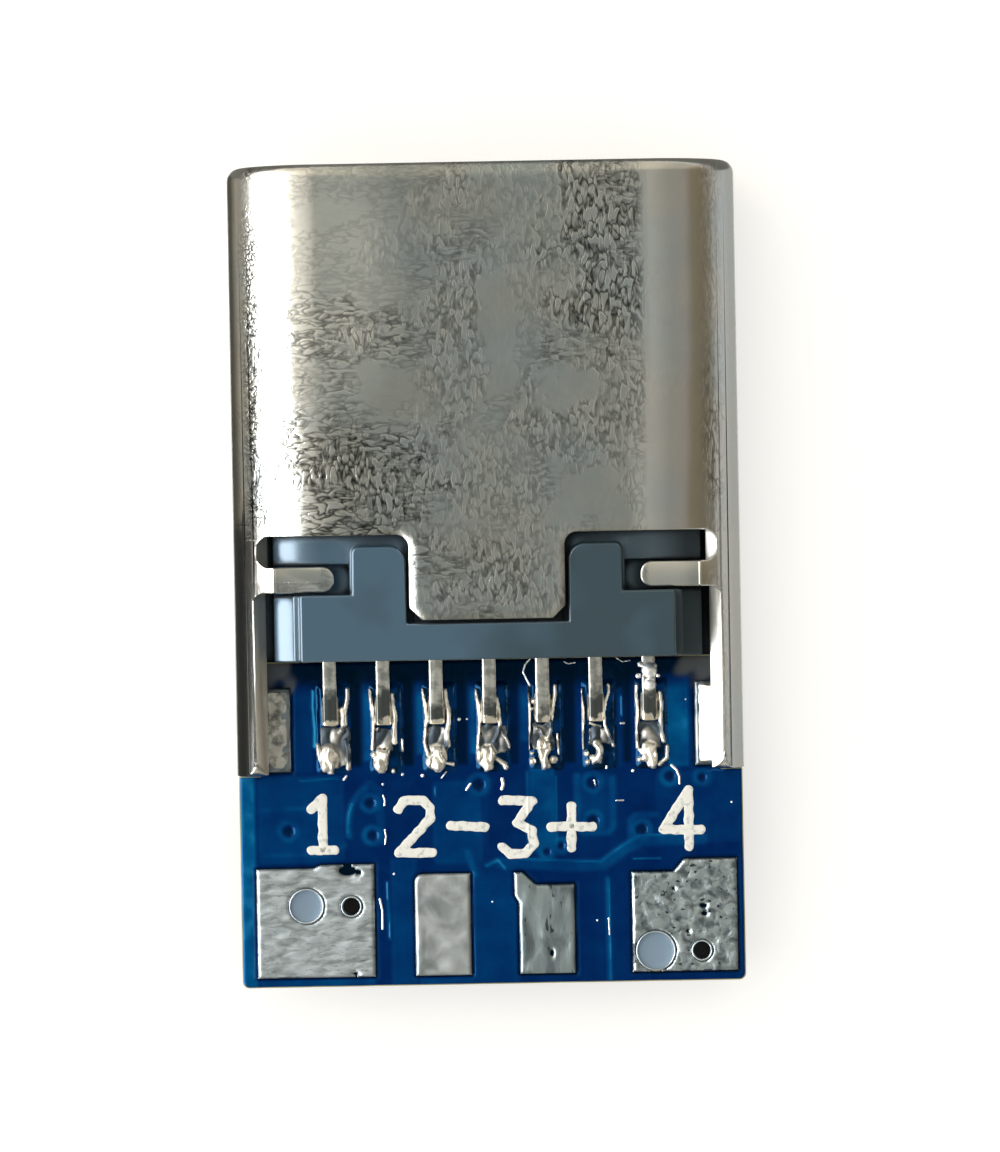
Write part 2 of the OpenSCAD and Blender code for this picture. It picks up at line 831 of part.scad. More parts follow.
// Fillet between a shell pad and the inside of the right wing, from a given inner x.
module wing_fillet(x0) {
    wall_x = flat_half + sqrt(inner_r * inner_r - wing_solder_z * wing_solder_z);
    rise = wing_solder_z - tail_z;
    run = wall_x - x0;
    translate([0, back(pads_front + wing_solder_inset), 0]) rotate([90, 0, 0])
        linear_extrude(pads_rear - pads_front - 2 * wing_solder_inset) intersection() {
            polygon([
                [x0, tail_z],
                [x0 + 0.35 * run, tail_z + 0.06 * rise],
                [x0 + 0.65 * run, tail_z + 0.22 * rise],
                [x0 + 0.86 * run, tail_z + 0.52 * rise],
                [wall_x, wing_solder_z],
                [shell_w, wing_solder_z],
                [shell_w, tail_z]
            ]);
            translate([flat_half, 0]) circle(inner_r);
        }
}

module wing_solder(face, side) {
    shift = side * pattern_shift;
    color(bright_solder) at_mid() mirror([0, 0, face < 0 ? 1 : 0]) mirror([side < 0 ? 1 : 0, 0, 0])
        wing_fillet(shell_pad_in + shift + wing_solder_inset);
}

shell();
insulator();
middle_plate();
upper_contact(0);  // upper_contact_1
upper_contact(1);  // upper_contact_2
upper_contact(2);  // upper_contact_3
upper_contact(3);  // upper_contact_4
upper_contact(4);  // upper_contact_5
upper_contact(5);  // upper_contact_6
upper_contact(6);  // upper_contact_7
lower_contact(0);  // lower_contact_1
lower_contact(1);  // lower_contact_2
lower_contact(2);  // lower_contact_3
lower_contact(3);  // lower_contact_4
lower_contact(4);  // lower_contact_5
lower_contact(5);  // lower_contact_6
lower_contact(6);  // lower_contact_7
circuit_board();
plated_holes();
top_contact_pads();
bottom_contact_pads();
top_shell_pads();
bottom_shell_pads();
top_wire_pad(1);  // top_wire_pad_1
top_wire_pad(2);  // top_wire_pad_2
top_wire_pad(3);  // top_wire_pad_3
top_wire_pad(4);  // top_wire_pad_4
bottom_wire_pad(1);  // bottom_wire_pad_1
bottom_wire_pad(2);  // bottom_wire_pad_2
bottom_wire_pad(3);  // bottom_wire_pad_3
bottom_wire_pad(4);  // bottom_wire_pad_4
upper_solder(0);  // upper_solder_1
upper_solder(1);  // upper_solder_2
upper_solder(2);  // upper_solder_3
upper_solder(3);  // upper_solder_4
upper_solder(4);  // upper_solder_5
upper_solder(5);  // upper_solder_6
upper_solder(6);  // upper_solder_7
lower_solder(0);  // lower_solder_1
lower_solder(1);  // lower_solder_2
lower_solder(2);  // lower_solder_3
lower_solder(3);  // lower_solder_4
lower_solder(4);  // lower_solder_5
lower_solder(5);  // lower_solder_6
lower_solder(6);  // lower_solder_7
wing_solder(1, -1);  // top_wing_solder_left
wing_solder(1, 1);  // top_wing_solder_right
wing_solder(-1, -1);  // bottom_wing_solder_left
wing_solder(-1, 1);  // bottom_wing_solder_right
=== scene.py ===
"""Looks of a reversible-plug receptacle that is clamped and soldered to a small blue board.

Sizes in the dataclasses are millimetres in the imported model's frame: +X is the width, +Y runs
towards the mouth, and +Z is up, out of the side that the photograph shows. A place along the part
is given as in its source, as a distance behind the mouth, and a height is from the mid-plane.
"""
import logging
import math
from dataclasses import dataclass, field
from enum import Enum
from typing import Callable

import bmesh
import bpy
import numpy as np
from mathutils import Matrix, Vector


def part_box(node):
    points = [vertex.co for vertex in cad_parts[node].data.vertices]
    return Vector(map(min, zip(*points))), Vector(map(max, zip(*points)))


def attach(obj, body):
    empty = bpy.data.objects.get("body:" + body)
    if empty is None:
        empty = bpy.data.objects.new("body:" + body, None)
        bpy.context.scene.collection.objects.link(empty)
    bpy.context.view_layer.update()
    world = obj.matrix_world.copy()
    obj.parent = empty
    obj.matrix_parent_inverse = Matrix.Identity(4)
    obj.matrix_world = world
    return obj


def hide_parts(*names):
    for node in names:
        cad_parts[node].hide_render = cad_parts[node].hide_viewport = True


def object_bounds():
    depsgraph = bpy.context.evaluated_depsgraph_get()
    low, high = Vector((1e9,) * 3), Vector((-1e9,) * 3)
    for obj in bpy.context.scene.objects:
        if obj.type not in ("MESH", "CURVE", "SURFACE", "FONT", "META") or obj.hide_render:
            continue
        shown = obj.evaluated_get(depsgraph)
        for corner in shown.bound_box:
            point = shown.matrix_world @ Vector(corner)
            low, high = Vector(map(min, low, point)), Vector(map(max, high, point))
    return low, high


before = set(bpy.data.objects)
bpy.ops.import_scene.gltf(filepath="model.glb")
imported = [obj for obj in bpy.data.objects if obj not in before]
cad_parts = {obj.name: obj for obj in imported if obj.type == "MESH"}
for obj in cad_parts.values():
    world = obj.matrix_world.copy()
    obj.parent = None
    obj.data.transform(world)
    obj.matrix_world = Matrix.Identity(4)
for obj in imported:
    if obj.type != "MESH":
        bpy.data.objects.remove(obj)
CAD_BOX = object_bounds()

LOG = logging.getLogger("breakout_board")
MM = 0.001
PHOTO_SIZE = (1000, 1152)
BODY = "root"
WELD = 0.0001 * MM
FLAT = 0.001 * MM
SHARP = math.radians(38)

HALF_LENGTH = (CAD_BOX[1][1] - CAD_BOX[0][1]) / 2 / MM
MID_Z = (CAD_BOX[1][2] + CAD_BOX[0][2]) / 2 / MM

Array = np.ndarray
Node = bpy.types.Node
Socket = bpy.types.NodeSocket
Tree = bpy.types.NodeTree
Feed = Node | Socket
Path = tuple[tuple[float, float], ...]
Box = tuple[float, float, float, float]
Field = Callable[[Array, Array], Array]


class Face(Enum):
    """The two faces of the board."""

    TOP = 1
    BOTTOM = -1


# Colours, nodes and noise


def linear(code: str) -> tuple[float, float, float, float]:
    """Turns an sRGB hex colour into a linear one.

    Args:
        code: six hex digits after a number sign.

    Returns:
        Red, green, blue and an alpha of one.
    """
    parts = [int(code[i : i + 2], 16) / 255 for i in (1, 3, 5)]
    red, green, blue = (c / 12.92 if c <= 0.04045 else ((c + 0.055) / 1.055) ** 2.4 for c in parts)
    return (red, green, blue, 1.0)


def per(size: float) -> float:
    """Returns the texture scale at which one feature is `size` millimetres across."""
    return 1 / (size * MM)


def add_node(tree: Tree, kind: str, inputs: dict | tuple = (), **settings) -> Node:
    """Adds a shader node with its settings and links.

    Args:
        tree: the node tree that gets the node.
        kind: the node's type, without its usual prefix.
        inputs: what its inputs get, by name or in the order in which the node shows them: a value,
            an output, or a node whose first output feeds the input.
        settings: the node's own options; `ramp` is a list of places and hex colours.

    Returns:
        The new node.
    """
    node = tree.nodes.new("ShaderNode" + kind)
    for key, value in settings.items():
        if key != "ramp":
            setattr(node, key, value)
            continue
        stops = node.color_ramp.elements
        while len(stops) < len(value):
            stops.new(1.0)
        for stop, (place, code) in zip(stops, value):
            stop.position = place
            stop.color = linear(code)
    if isinstance(inputs, dict):
        pairs = [(node.inputs[key], value) for key, value in inputs.items()]
    else:
        pairs = zip([socket for socket in node.inputs if socket.enabled], inputs)
    for socket, value in pairs:
        if isinstance(value, Node):
            value = next(output for output in value.outputs if output.enabled)
        if isinstance(value, Socket):
            tree.links.new(value, socket)
        else:
            socket.default_value = value
    return node


def new_material(name: str) -> bpy.types.Material:
    """Makes a material with no nodes.

    Args:
        name: the material's name.

    Returns:
        The material.
    """
    material = bpy.data.materials.new(name)
    material.use_nodes = True
    material.node_tree.nodes.clear()
    return material


def shares_from(tree: Tree, place: Socket, spot: Box) -> Node:
    """Measures how far the surface lies from the middle of an oval spot.

    Args:
        tree: the material's nodes.
        place: coordinates in metres.
        spot: x, distance behind the mouth, half width and half length.

    Returns:
        The node that gives it, with 1 at the spot's edge.
    """
    x, back, half_w, half_l = spot
    shifted = add_node(
        tree, "Mapping",
        {
            "Vector": place, "Scale": (1 / (half_w * MM), 1 / (half_l * MM), 0),
            "Location": (-x / half_w, -(HALF_LENGTH - back) / half_l, 0),
        },
    )
    return add_node(tree, "VectorMath", (shifted,), operation="LENGTH")


@dataclass(frozen=True)
class Waves:
    """Smooth, seeded unevenness: a sum of plane waves of about one length.

    Attributes:
        seed: picks the waves.
        length: the usual distance from crest to crest.
        stretch: how much longer the waves are along Y than along X.
        count: how many waves there are.
    """

    seed: int
    length: float
    stretch: float = 1.0
    count: int = 14

    def __call__(self, x: Array, y: Array) -> Array:
        """Sums the waves.

        Args:
            x, y: the points.

        Returns:
            The height at each point, mostly between minus one and one.
        """
        rng = np.random.default_rng(self.seed)
        total = np.zeros_like(x, dtype=float)
        for _ in range(self.count):
            turn = rng.uniform(0, 2 * math.pi)
            pace = 2 * math.pi / (self.length * rng.uniform(0.7, 1.5))
            shift = rng.uniform(0, 2 * math.pi)
            total += np.cos(pace * (x * math.cos(turn) + y / self.stretch * math.sin(turn)) + shift)
        return total / math.sqrt(self.count)


# Finishes


@dataclass(frozen=True)
class Finish:
    """A real material, as it was made, and the procedural material that shows it."""

    name: str

    def build(self) -> bpy.types.Material:
        """Makes the material, or finds it if it was made before.

        Returns:
            The material.
        """
        made = bpy.data.materials.get(self.name)
        if made:
            return made
        material = new_material(self.name)
        tree = material.node_tree
        surface = self.shade(tree, add_node(tree, "TexCoord").outputs["Object"])
        add_node(tree, "OutputMaterial", {"Surface": surface})
        return material

    def shade(self, tree: Tree, place: Socket) -> Node:
        """Adds the shader.

        Args:
            tree: the material's nodes.
            place: coordinates in metres.

        Returns:
            The shader's node.
        """
        raise NotImplementedError

    def surface(self, tree: Tree, height: Feed, strength: float, depth: float, inputs: dict) -> Node:
        """Adds the shader itself over a skin that isn't quite smooth.

        Args:
            tree: the material's nodes.
            height: what the skin follows.
            strength: how much of that shows.
            depth: how deep it is, in millimetres.
            inputs: the shader's own inputs.

        Returns:
            The shader's node.
        """
        bump = add_node(tree, "Bump", {"Height": height, "Strength": strength, "Distance": depth * MM})
        return add_node(tree, "BsdfPrincipled", {**inputs, "Normal": bump})


@dataclass(frozen=True)
class PlatedSheet(Finish):
    """Nickel plating on deep-drawn steel.

    The draw leaves a net of fine furrows a tenth of a millimetre apart, which run across the part in
    some places and along it in others. Where the die gripped the sheet they are deep, with painted
    shade in them and painted highlight on the crests between.

    Attributes:
        warm, cool: the plating's colour, which drifts between the two.
        furrow_shade: what the bottom of the deepest furrow multiplies it by, as painted shade.
        pitch: the distance between two furrows.
        stretch: how much wider than long the cells between them are.
        gripped: x, distance behind the mouth, half width, half length and strength of the places
            where the furrows are strong.
        idle: their strength elsewhere.
        calm: x, distance behind the mouth, half width and half length of the places without furrows.
        smooth_band: x where the smooth band right of the flat begins, is full, begins to end and ends.
        smooth_flanks: distances from the middle between which the furrows end on the flanks.
        smooth_tabs: the smooth tabs' ends, behind the mouth, and how far from the middle they begin.
        polished: x, distance behind the mouth, half width and half length of a painted
            highlight on the flat.
        painted_highlight: its colour.
        depth: how deep the strongest furrows are.
        domed: distances from the middle between which the flat begins to fall towards the sides.
        dome: how much steeper it gets per millimetre between them.
        dome_along: distance behind the mouth and share of that on the left, at two places.
        rolled: how wide the edges are that the punch rolled over, at two distances from the middle.
    """

    name: str = "nickel_plated_deep_drawn_steel"
    warm: str = "#c7c6c0"
    cool: str = "#bfc4c3"
    furrow_shade: str = "#2e302f"
    pitch: float = 0.108
    stretch: float = 0.42
    gripped: tuple = (
        (-2.35, 5.35, 1.75, 1.5, 1.0), (2.1, 1.75, 1.0, 2.0, 0.95), (-2.5, 2.95, 1.5, 0.6, 0.75),
        (-0.5, 2.3, 0.7, 2.1, 0.6), (1.9, 4.3, 1.5, 1.1, 0.6), (0.0, 7.3, 1.3, 0.8, 0.7),
        (-4.06, 3.4, 0.24, 3.4, 1.0), (3.9, 5.0, 0.25, 1.2, 0.7), (0.3, 5.8, 1.6, 0.9, 0.45),
    )
    idle: float = 0.24
    calm: tuple[Box, ...] = (
        (-1.75, 4.1, 0.75, 0.6), (0.35, 2.9, 0.45, 1.5), (1.5, 4.0, 0.7, 0.4), (1.9, 6.0, 0.9, 0.8),
        (-2.6, 0.9, 1.6, 0.35),
    )
    smooth_band: Box = (2.74, 2.84, 3.75, 3.95)
    smooth_flanks: tuple = (4.1, 4.25)
    smooth_tabs: tuple = (6.55, 7.3, 2.9)
    polished: Box = (-2.55, 1.9, 1.1, 2.4)
    painted_highlight: str = "#f2efe7"
    depth: float = 0.0048
    domed: tuple = (2.45, 2.95)
    dome: float = 0.1
    dome_along: tuple = ((2.2, 0.35), (6.3, 2.6))
    rolled: tuple = ((1.6, 0.26), (2.9, 0.04))

    def wrinkles(self, tree: Tree, place: Socket, scale: tuple) -> Node:
        """Draws the furrows, which run along the axis with the smaller scale.

        Args:
            tree: the material's nodes.
            place: coordinates in metres.
            scale: how much the furrows are pressed together along each axis.

        Returns:
            The node that gives the height over them, 0 in a furrow.
        """
        pulled = add_node(tree, "Mapping", {"Vector": place, "Scale": scale})
        noise = add_node(
            tree, "TexNoise", {"Vector": pulled, "Scale": per(self.pitch), "Detail": 1.0, "Distortion": 0.5}
        )
        away = add_node(tree, "Math", (noise, 0.5), operation="SUBTRACT")
        away = add_node(tree, "Math", (away,), operation="ABSOLUTE")
        return add_node(tree, "MapRange", (away, 0, 0.15))

    def grip(self, tree: Tree, place: Socket) -> Node:
        """Finds how strong the furrows are.

        Args:
            tree: the material's nodes.
            place: coordinates in metres.

        Returns:
            The node that gives their strength, from 0 to 1.
        """
        edge = add_node(tree, "TexNoise", {"Vector": place, "Scale": per(0.6), "Detail": 2})
        shift = add_node(tree, "MapRange", (edge, 0.3, 0.7, -0.5, 0.5))
        found = self.idle
        zones = [(zone[:4], zone[4], self.idle, "MAXIMUM") for zone in self.gripped]
        zones += [(spot, 0.05, 1.0, "MINIMUM") for spot in self.calm]
        for spot, within, beyond, operation in zones:
            away = add_node(tree, "Math", (shares_from(tree, place, spot), shift), operation="ADD")
            share = add_node(tree, "MapRange", (away, 0.6, 1.25, within, beyond))
            found = add_node(tree, "Math", (found, share), operation=operation)
        for share in self.smooth_places(tree, place):
            found = add_node(tree, "Math", (found, share), operation="MULTIPLY")
        return found

    def smooth_places(self, tree: Tree, place: Socket) -> list[Node]:
        """Finds where the die left the sheet smooth: a band, the steep flanks and the tabs.

        Args:
            tree: the material's nodes.
            place: coordinates in metres.

        Returns:
            For each, the node that gives what share of the furrows is left.
        """
        side = add_node(tree, "SeparateXYZ", (place,))
        begin, full, leave, end = (x * MM for x in self.smooth_band)
        fading = add_node(tree, "MapRange", (side.outputs["X"], begin, full, 1.0, 0.08))
        coming = add_node(tree, "MapRange", (side.outputs["X"], leave, end, 0.0, 0.9))
        band = add_node(tree, "Math", (fading, coming), operation="MAXIMUM")
        away = add_node(tree, "Math", (side.outputs["X"],), operation="ABSOLUTE")
        begin, full = (x * MM for x in self.smooth_flanks)
        flanks = add_node(tree, "MapRange", (away, begin, full, 1.0, 0.2))
        front, rear, begin = self.smooth_tabs
        middle, half = (HALF_LENGTH - (front + rear) / 2) * MM, (rear - front) / 2 * MM
        off = add_node(tree, "Math", (side.outputs["Y"], middle), operation="SUBTRACT")
        off = add_node(tree, "Math", (off,), operation="ABSOLUTE")
        beside = add_node(tree, "Math", (off, half), operation="GREATER_THAN")
        within = add_node(tree, "Math", (away, begin * MM), operation="LESS_THAN")
        return [band, flanks, add_node(tree, "Math", (beside, within), operation="MAXIMUM")]

    def fall(self, tree: Tree, place: Socket) -> Node:
        """Domes the flat, more towards the rear on the left.

        Args:
            tree: the material's nodes.
            place: coordinates in metres.

        Returns:
            The node that gives how far the flat falls away, in metres.
        """
        side = add_node(tree, "SeparateXYZ", (place,))
        away = add_node(tree, "Math", (side.outputs["X"],), operation="ABSOLUTE")
        begin, full = (x * MM for x in self.domed)
        away = add_node(tree, "Math", (away, begin), operation="SUBTRACT")
        away = add_node(tree, "Math", (away, 0.0), operation="MAXIMUM")
        curved = add_node(tree, "Math", (away, full - begin), operation="MINIMUM")
        twice = add_node(tree, "Math", (away, 2.0), operation="MULTIPLY")
        twice = add_node(tree, "Math", (twice, curved), operation="SUBTRACT")
        area = add_node(tree, "Math", (twice, curved), operation="MULTIPLY")
        (front, least), (rear, most) = self.dome_along
        ends = ((HALF_LENGTH - front) * MM, (HALF_LENGTH - rear) * MM)
        more = add_node(tree, "MapRange", (side.outputs["Y"], *ends, least, most))
        right = add_node(tree, "Math", (side.outputs["X"], 0.0), operation="GREATER_THAN")
        more = add_node(tree, "Math", (more, right), operation="MAXIMUM")
        area = add_node(tree, "Math", (area, more), operation="MULTIPLY")
        return add_node(tree, "Math", (area, -self.dome / 2 / MM), operation="MULTIPLY")

    def colour(self, tree: Tree, place: Socket, height: Node, grip: Node) -> Node:
        """Colours the plating, with painted shade in the furrows, painted highlight on their crests and on
        one spot.

        Args:
            tree: the material's nodes.
            place: coordinates in metres.
            height: the height over the furrows.
            grip: how strong they are.

        Returns:
            The node that gives the colour.
        """
        # Painted shade at the furrows' bottoms and painted highlight on their crests.
        greys = [(0.0, self.furrow_shade), (0.36, "#b4b5b4"), (0.7, "#e6e6e6"), (1.0, "#ffffff")]
        relief = add_node(tree, "ValToRGB", (height,), ramp=greys)
        drift = add_node(tree, "TexNoise", {"Vector": place, "Scale": per(1.7), "Detail": 2})
        tone = add_node(tree, "ValToRGB", (drift,), ramp=[(0.4, self.warm), (0.6, self.cool)])
        # A painted highlight over one spot of the flat.
        share = add_node(tree, "MapRange", (shares_from(tree, place, self.polished), 0.5, 1.2, 1.0, 0.0))
        tone = add_node(tree, "Mix", (share, tone, linear(self.painted_highlight)), data_type="RGBA")
        return add_node(tree, "Mix", (grip, tone, relief), data_type="RGBA", blend_type="MULTIPLY")

    def shade(self, tree: Tree, place: Socket) -> Node:
        """Adds furrowed nickel over a gently waved, domed sheet with rolled edges.

        Args:
            tree: the material's nodes.
            place: coordinates in metres.

        Returns:
            The shader's node.
        """
        side = add_node(tree, "SeparateXYZ", (place,))
        turn = add_node(tree, "TexNoise", {"Vector": place, "Scale": per(1.1), "Detail": 2})
        lean = add_node(tree, "MapRange", (side.outputs["X"], -3 * MM, 0, -0.12, 0.1))
        turn = add_node(tree, "Math", (turn, lean), operation="ADD")
        turn = add_node(tree, "MapRange", (turn, 0.42, 0.56))
        across = self.wrinkles(tree, place, (self.stretch, 1, 1))
        along = self.wrinkles(tree, place, (1, self.stretch, 1))
        height = add_node(tree, "Mix", (turn, across, along))
        grip = self.grip(tree, place)
        sunk = add_node(tree, "Math", (height, 1.0), operation="SUBTRACT")
        sunk = add_node(tree, "Math", (sunk, grip), operation="MULTIPLY")
        away = add_node(tree, "Math", (side.outputs["X"],), operation="ABSOLUTE")
        (near, wide), (far, narrow) = self.rolled
        radius = add_node(tree, "MapRange", (away, near * MM, far * MM, wide * MM, narrow * MM))
        normal = add_node(tree, "Bevel", (radius,), samples=8)
        waves = add_node(tree, "TexNoise", {"Vector": place, "Scale": per(1.1), "Detail": 1})
        for form, depth in ((waves, 0.02 * MM), (self.fall(tree, place), 1.0), (sunk, self.depth * MM)):
            normal = add_node(
                tree, "Bump", {"Height": form, "Strength": 1, "Distance": depth, "Normal": normal}
            )
        colour = self.colour(tree, place, height, grip)
        return add_node(
            tree, "BsdfPrincipled",
            {"Base Color": colour, "Metallic": 1.0, "Roughness": 0.2, "Normal": normal},
        )


@dataclass(frozen=True)
class ShearedSteel(Finish):
    """The edge that the press sheared: painted grey on the left as shade, near white on the right as
    highlight.
    """

    name: str = "sheared_steel_edge"
    left_shade: str = "#a3a19a"
    right_highlight: str = "#fbfaf6"

    def shade(self, tree: Tree, place: Socket) -> Node:
        """Adds a rough metal with fine tears.

        Args:
            tree: the material's nodes.
            place: coordinates in metres.

        Returns:
            The shader's node.
        """
        tears = add_node(tree, "TexNoise", {"Vector": place, "Scale": per(0.12), "Detail": 3})
        side = add_node(tree, "SeparateXYZ", (place,))
        # Painted shade on the left, painted highlight on the right.
        share = add_node(tree, "MapRange", (side.outputs["X"], -MM, MM))
        tone = add_node(tree, "Mix", (share, linear(self.left_shade), linear(self.right_highlight)), data_type="RGBA")
        return self.surface(tree, tears, 0.5, 0.02, {"Base Color": tone, "Metallic": 1.0, "Roughness": 0.5})


@dataclass(frozen=True)
class MouldedPolymer(Finish):
    """Glass-filled liquid-crystal polymer, moulded.

    It is blue-black, with a skin so dense and smooth that a slope towards the window turns pale.
    Painted shade makes the cracks between it and the sheet black and the low faces on the right dark,
    and its tone is painted lighter on the left and darker on the right.

    Attributes:
        skin, deep: the lightest and the darkest of its colours.
        crack_shade: the painted shade in a crack.
        gloss: the tint of its reflections.
        fibre: how far apart the fibres' ends lie.
        crack_w: how wide a crack can be.
        right_shade: x between which the low faces are painted as dark as a crack, as shade.
        low: heights from the mid-plane between which a face stops being low.
    """

    name: str = "moulded_liquid_crystal_polymer"
    skin: str = "#355065"
    deep: str = "#22353f"
    crack_shade: str = "#020305"
    gloss: str = "#dcefff"
    fibre: float = 0.05
    crack_w: float = 0.2
    right_shade: tuple = (2.4, 3.5)
    low: tuple = (1.36, 1.42)

    def shade(self, tree: Tree, place: Socket) -> Node:
        """Adds a smooth plastic with a faint fibre texture and dark cracks.

        Args:
            tree: the material's nodes.
            place: coordinates in metres.

        Returns:
            The shader's node.
        """
        grain = add_node(tree, "TexNoise", {"Vector": place, "Scale": per(self.fibre), "Detail": 2})
        cloud = add_node(tree, "TexNoise", {"Vector": place, "Scale": per(1.6), "Detail": 2})
        side = add_node(tree, "SeparateXYZ", (place,))
        # The tone is painted lighter on the left and darker on the right, as light and shade.
        lean = add_node(tree, "MapRange", (side.outputs["X"], -MM, 3 * MM, 0.1, -0.3))
        level = add_node(tree, "Math", (cloud, lean), operation="ADD")
        tone = add_node(tree, "ValToRGB", (level,), ramp=[(0.3, self.deep), (0.6, self.skin)])
        painted_shade = self.painted_shade(tree, side)
        # Painted shade in the cracks and on the low faces on the right.
        colour = add_node(tree, "Mix", (painted_shade, tone, linear(self.crack_shade)), data_type="RGBA")
        rough = add_node(tree, "MapRange", (painted_shade, 0, 1, 0.26, 1.0))
        inputs = {"Base Color": colour, "Roughness": rough, "IOR": 1.9, "Specular Tint": linear(self.gloss)}
        return self.surface(tree, grain, 0.15, 0.004, inputs)

    def painted_shade(self, tree: Tree, side: Node) -> Node:
        """Finds where shade is painted: in the cracks and on the low faces on the right.

        Args:
            tree: the material's nodes.
            side: the coordinates of the surface, in metres, one by one.

        Returns:
            The node that gives how dark it is there, from 0 to 1.
        """
        sky = add_node(tree, "AmbientOcclusion", {"Distance": self.crack_w * MM}, samples=8)
        crack_shade = add_node(tree, "MapRange", (sky.outputs["AO"], 0.6, 0.82, 1, 0))
        right = add_node(tree, "MapRange", (side.outputs["X"], *(x * MM for x in self.right_shade), 0, 0.82))
        height = add_node(tree, "Math", (side.outputs["Z"], MID_Z * MM), operation="SUBTRACT")
        height = add_node(tree, "Math", (height,), operation="ABSOLUTE")
        low = add_node(tree, "MapRange", (height, *(z * MM for z in self.low), 1, 0))
        right_shade = add_node(tree, "Math", (right, low), operation="MULTIPLY")
        return add_node(tree, "Math", (crack_shade, right_shade), operation="MAXIMUM")


@dataclass(frozen=True)
class PlatedContact(Finish):
    """Copper alloy, stamped and plated with tin: pale where it leaves the moulding.

    Further back, where the solder has wetted it, it is painted dark as a reflection of the dark moulding,
    up to a pale line at its tip.

    Attributes:
        low, high: the plating's colour, which drifts between the two.
        dark_reflection, tip: the colours of the painted dark reflection and of the pale tip.
        reflection_band: distances behind the mouth at which the painted reflection begins and is full, and
            the pale tip's.
        ragged: how far the painted reflection's edges wander.
    """

    name: str = "tin_plated_copper_alloy"
    low: str = "#a6a7a1"
    high: str = "#d6d5cd"
    dark_reflection: str = "#5b5f5e"
    tip: str = "#efe6d4"
    reflection_band: tuple = (9.15, 9.4, 9.7, 9.76)
    ragged: float = 0.08

    def shade(self, tree: Tree, place: Socket) -> Node:
        """Adds a satin metal with stamping marks and a stain.

        Args:
            tree: the material's nodes.
            place: coordinates in metres.

        Returns:
            The shader's node.
        """
        marks = add_node(tree, "TexNoise", {"Vector": place, "Scale": per(0.14), "Detail": 2})
        colour = add_node(tree, "ValToRGB", (marks,), ramp=[(0.38, self.low), (0.58, self.high)])
        shift = add_node(tree, "MapRange", (marks, 0.3, 0.7, -self.ragged * MM, self.ragged * MM))
        along = add_node(tree, "SeparateXYZ", (place,)).outputs["Y"]
        along = add_node(tree, "Math", (along, shift), operation="ADD")
        begin, full, fade, end = ((HALF_LENGTH - back) * MM for back in self.reflection_band)
        # Painted dark reflection of the moulding, then the pale tip.
        for near, far, code in ((begin, full, self.dark_reflection), (fade, end, self.tip)):
            share = add_node(tree, "MapRange", (along, near, far))
            colour = add_node(tree, "Mix", (share, colour, linear(code)), data_type="RGBA")
        return self.surface(
            tree, marks, 0.4, 0.015, {"Base Color": colour, "Metallic": 1.0, "Roughness": 0.28}
        )


@dataclass(frozen=True)
class ReflowedSolder(Finish):
    """Tin-silver solder, reflowed and cooled fast: pale and soft-looking, with frozen ripples.

    The mesh may carry where it is darker and rougher, as an attribute.
    """

    name: str = "reflowed_tin_silver_solder"
    low: str = "#c2bfb6"
    high: str = "#f6f2e8"
    dulled: str = "#464f57"

    def shade(self, tree: Tree, place: Socket) -> Node:
        """Adds a satin metal with ripples and dull places.

        Args:
            tree: the material's nodes.
            place: coordinates in metres.

        Returns:
            The shader's node.
        """
        ripples = add_node(tree, "TexNoise", {"Vector": place, "Scale": per(0.16), "Detail": 2})
        tone = add_node(tree, "ValToRGB", (ripples,), ramp=[(0.36, self.low), (0.56, self.high)])
        dull = add_node(tree, "Attribute", attribute_name="dull").outputs["Fac"]
        colour = add_node(tree, "Mix", (dull, tone, linear(self.dulled)), data_type="RGBA")
        rough = add_node(tree, "MapRange", (dull, 0, 1, 0.46, 0.55))
        return self.surface(
            tree, ripples, 0.4, 0.02, {"Base Color": colour, "Metallic": 1.0, "Roughness": rough}
        )


@dataclass(frozen=True)
class LevelledTin(Finish):
    """Tin on copper, levelled with hot air: satin, with shallow ripples, stains and black pinholes.

    Attributes:
        low, high: its colour, which drifts between the two.
        ripple: how far apart the stains lie.
        stretch: how much longer they are along the part than across it.
        roughness: how dull it is.
        pinholes: how black the pinholes are, 0 where there are none.
    """

    name: str = "hot_air_levelled_tin"
    low: str = "#8f98a0"
    high: str = "#b7c1c9"
    ripple: float = 0.35
    stretch: float = 1.0
    roughness: float = 0.42
    pinholes: float = 0.0

    def shade(self, tree: Tree, place: Socket) -> Node:
        """Adds a satin metal with ripples, darker stains and pinholes.

        Args:
            tree: the material's nodes.
            place: coordinates in metres.

        Returns:
            The shader's node.
        """
        pulled = add_node(tree, "Mapping", {"Vector": place, "Scale": (1, 1 / self.stretch, 1)})
        dark_patches = add_node(
            tree, "TexNoise", {"Vector": pulled, "Scale": per(self.ripple), "Detail": 4, "Distortion": 0.5}
        )
        tone = add_node(tree, "ValToRGB", (dark_patches,), ramp=[(0.36, self.low), (0.56, self.high)])
        spots = add_node(tree, "TexNoise", {"Vector": pulled, "Scale": per(0.09), "Detail": 1})
        holes = add_node(tree, "MapRange", (spots, 0.33, 0.28, 0, self.pinholes))
        colour = add_node(tree, "Mix", (holes, tone, linear("#20242a")), data_type="RGBA")
        inputs = {"Base Color": colour, "Metallic": 1.0, "Roughness": self.roughness}
        return self.surface(tree, dark_patches, 0.8, 0.03, inputs)


